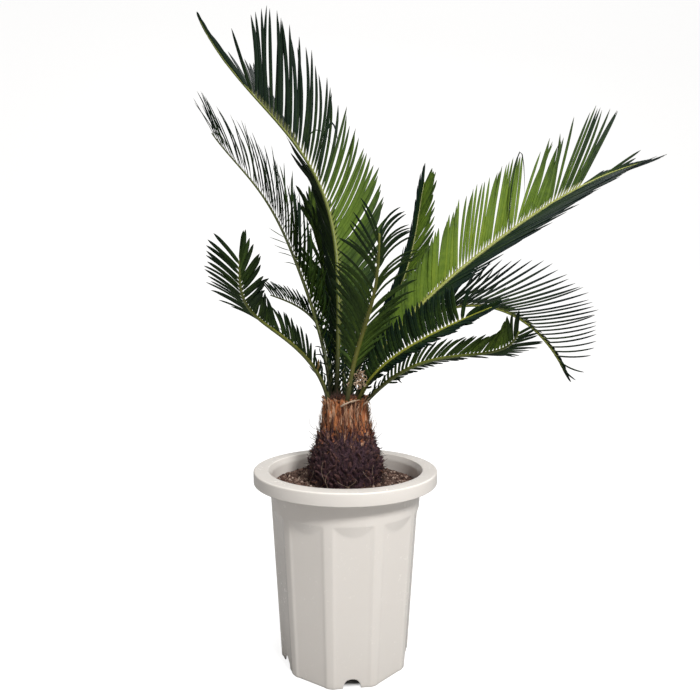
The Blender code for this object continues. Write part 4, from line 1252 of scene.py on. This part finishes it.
def make_fronds(leaf, stem):
    stalks = {name: Stalk(frond) for name, frond in FRONDS.items()}
    trees = {"standing": [node_tree("pot"), node_tree("soil"), node_tree("caudex")]}
    trees.update({name: [rod_tree(stalk, STALK_SKIN)] for name, stalk in stalks.items()})
    made = []
    for number, (name, stalk) in enumerate(stalks.items()):
        others = [tree for owner, owned in trees.items() if owner != name for tree in owned]
        pile, draw = Pile(), np.random.default_rng(SEED * 100 + number)
        trees[name].append(make_frond(pile, stalk, others, STRAYS.get(name, ()), draw))
        piece = pile.make(name + "_fine", [leaf, stem])
        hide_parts(name)
        made.append(piece)
    return made, [stalk.points for stalk in stalks.values()]


# Stage, light and camera

def make_stage():
    profile = [(-3.0, 0.0), (1.6, 0.0)]
    profile += [(1.6 + 1.4 * sin(t), 1.4 - 1.4 * cos(t)) for t in np.linspace(0.1, pi / 2, 14)]
    profile += [(3.0, 5.0)]
    points = [(x, y, z) for y, z in profile for x in (-5.0, 5.0)]
    quads = [(2 * i, 2 * i + 1, 2 * i + 3, 2 * i + 2) for i in range(len(profile) - 1)]
    pile = Pile()
    pile.add(points, quads, [])
    pile.make("sweep", [stage_look()])


def area_light(name, place, target, size, power, colour=(1, 1, 1)):
    data = bpy.data.lights.new(name, "AREA")
    data.shape = "RECTANGLE"
    data.size = data.size_y = size
    data.energy = power
    data.color = colour
    lamp = add_object(name, data)
    lamp.location = place
    lamp.rotation_mode = "QUATERNION"
    lamp.rotation_quaternion = (Vector(place) - Vector(target)).to_track_quat("Z", "Y")


def make_light():
    """Soft studio light: a warm world that the camera sees as white, and three lamps."""
    world = bpy.data.worlds.new("studio")
    bpy.context.scene.world = world
    world.use_nodes = True
    tree = world.node_tree
    tree.nodes.clear()
    either, out = tree.nodes.new("ShaderNodeMixShader"), tree.nodes.new("ShaderNodeOutputWorld")
    tree.links.new(tree.nodes.new("ShaderNodeLightPath").outputs[0], either.inputs[0])
    for number, colour, strength in ((1, (1.0, 0.965, 0.925, 1), 0.33), (2, (1.0, 1.0, 1.0, 1), 1.0)):
        glow = tree.nodes.new("ShaderNodeBackground")
        glow.inputs[0].default_value, glow.inputs[1].default_value = colour, strength
        tree.links.new(glow.outputs[0], either.inputs[number])
    tree.links.new(either.outputs[0], out.inputs[0])
    area_light("key", (0.79, -1.49, 1.66), (0.0, 0.0, 0.3), 0.36, 36, (1.0, 0.985, 0.955))
    area_light("overhead", (0.2, 0.1, 2.7), (0.0, 0.0, 0.4), 1.8, 46, (1.0, 0.99, 0.97))
    area_light("back", (1.0, 1.6, 1.6), (0.1, 0.0, 0.6), 1.2, 8)


SENSOR_MM = 36
PHOTO_PIXELS = 700
FOCAL_PIXELS = 526
CAMERA_PLACE = (0, -0.7504, 0.4489)
YAW, TILT, ROLL = radians(0.46), radians(1.28), radians(0.14)


def make_camera():
    """The photograph's view: a phone's lens held level above the pot, turned and tipped by about a degree."""
    forward = Vector((sin(YAW) * cos(TILT), cos(YAW) * cos(TILT), -sin(TILT)))
    level = Vector((cos(YAW), -sin(YAW), 0))
    upright = level.cross(forward)
    right = level * cos(ROLL) + upright * sin(ROLL)
    up = upright * cos(ROLL) - level * sin(ROLL)
    data = bpy.data.cameras.new("camera")
    data.sensor_width = SENSOR_MM
    data.lens = SENSOR_MM * FOCAL_PIXELS / PHOTO_PIXELS
    camera = add_object("camera", data)
    place = Matrix((right, up, -forward)).transposed().to_4x4()
    place.translation = Vector(CAMERA_PLACE)
    camera.matrix_world = place
    bpy.context.scene.camera = camera
    bpy.context.scene.view_settings.view_transform = "Standard"


def main():
    make_camera()
    make_light()
    make_stage()
    fronds, lines = make_fronds(leaf_look(), stalk_look())
    pot = make_pot(plastic_look())
    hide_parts("pot")
    soil = make_soil(soil_look())
    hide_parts("soil")
    grains = make_grains(grain_look())
    bark, fibre = bark_look(), fibre_look()
    core = make_core(bark)
    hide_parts("caudex")
    trunk = [core, make_scales(bark, lines), make_fibres(fibre, lines), make_strips(fibre)]
    for piece in [*fronds, pot, soil, grains, *trunk]:
        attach(piece, "root")


main()
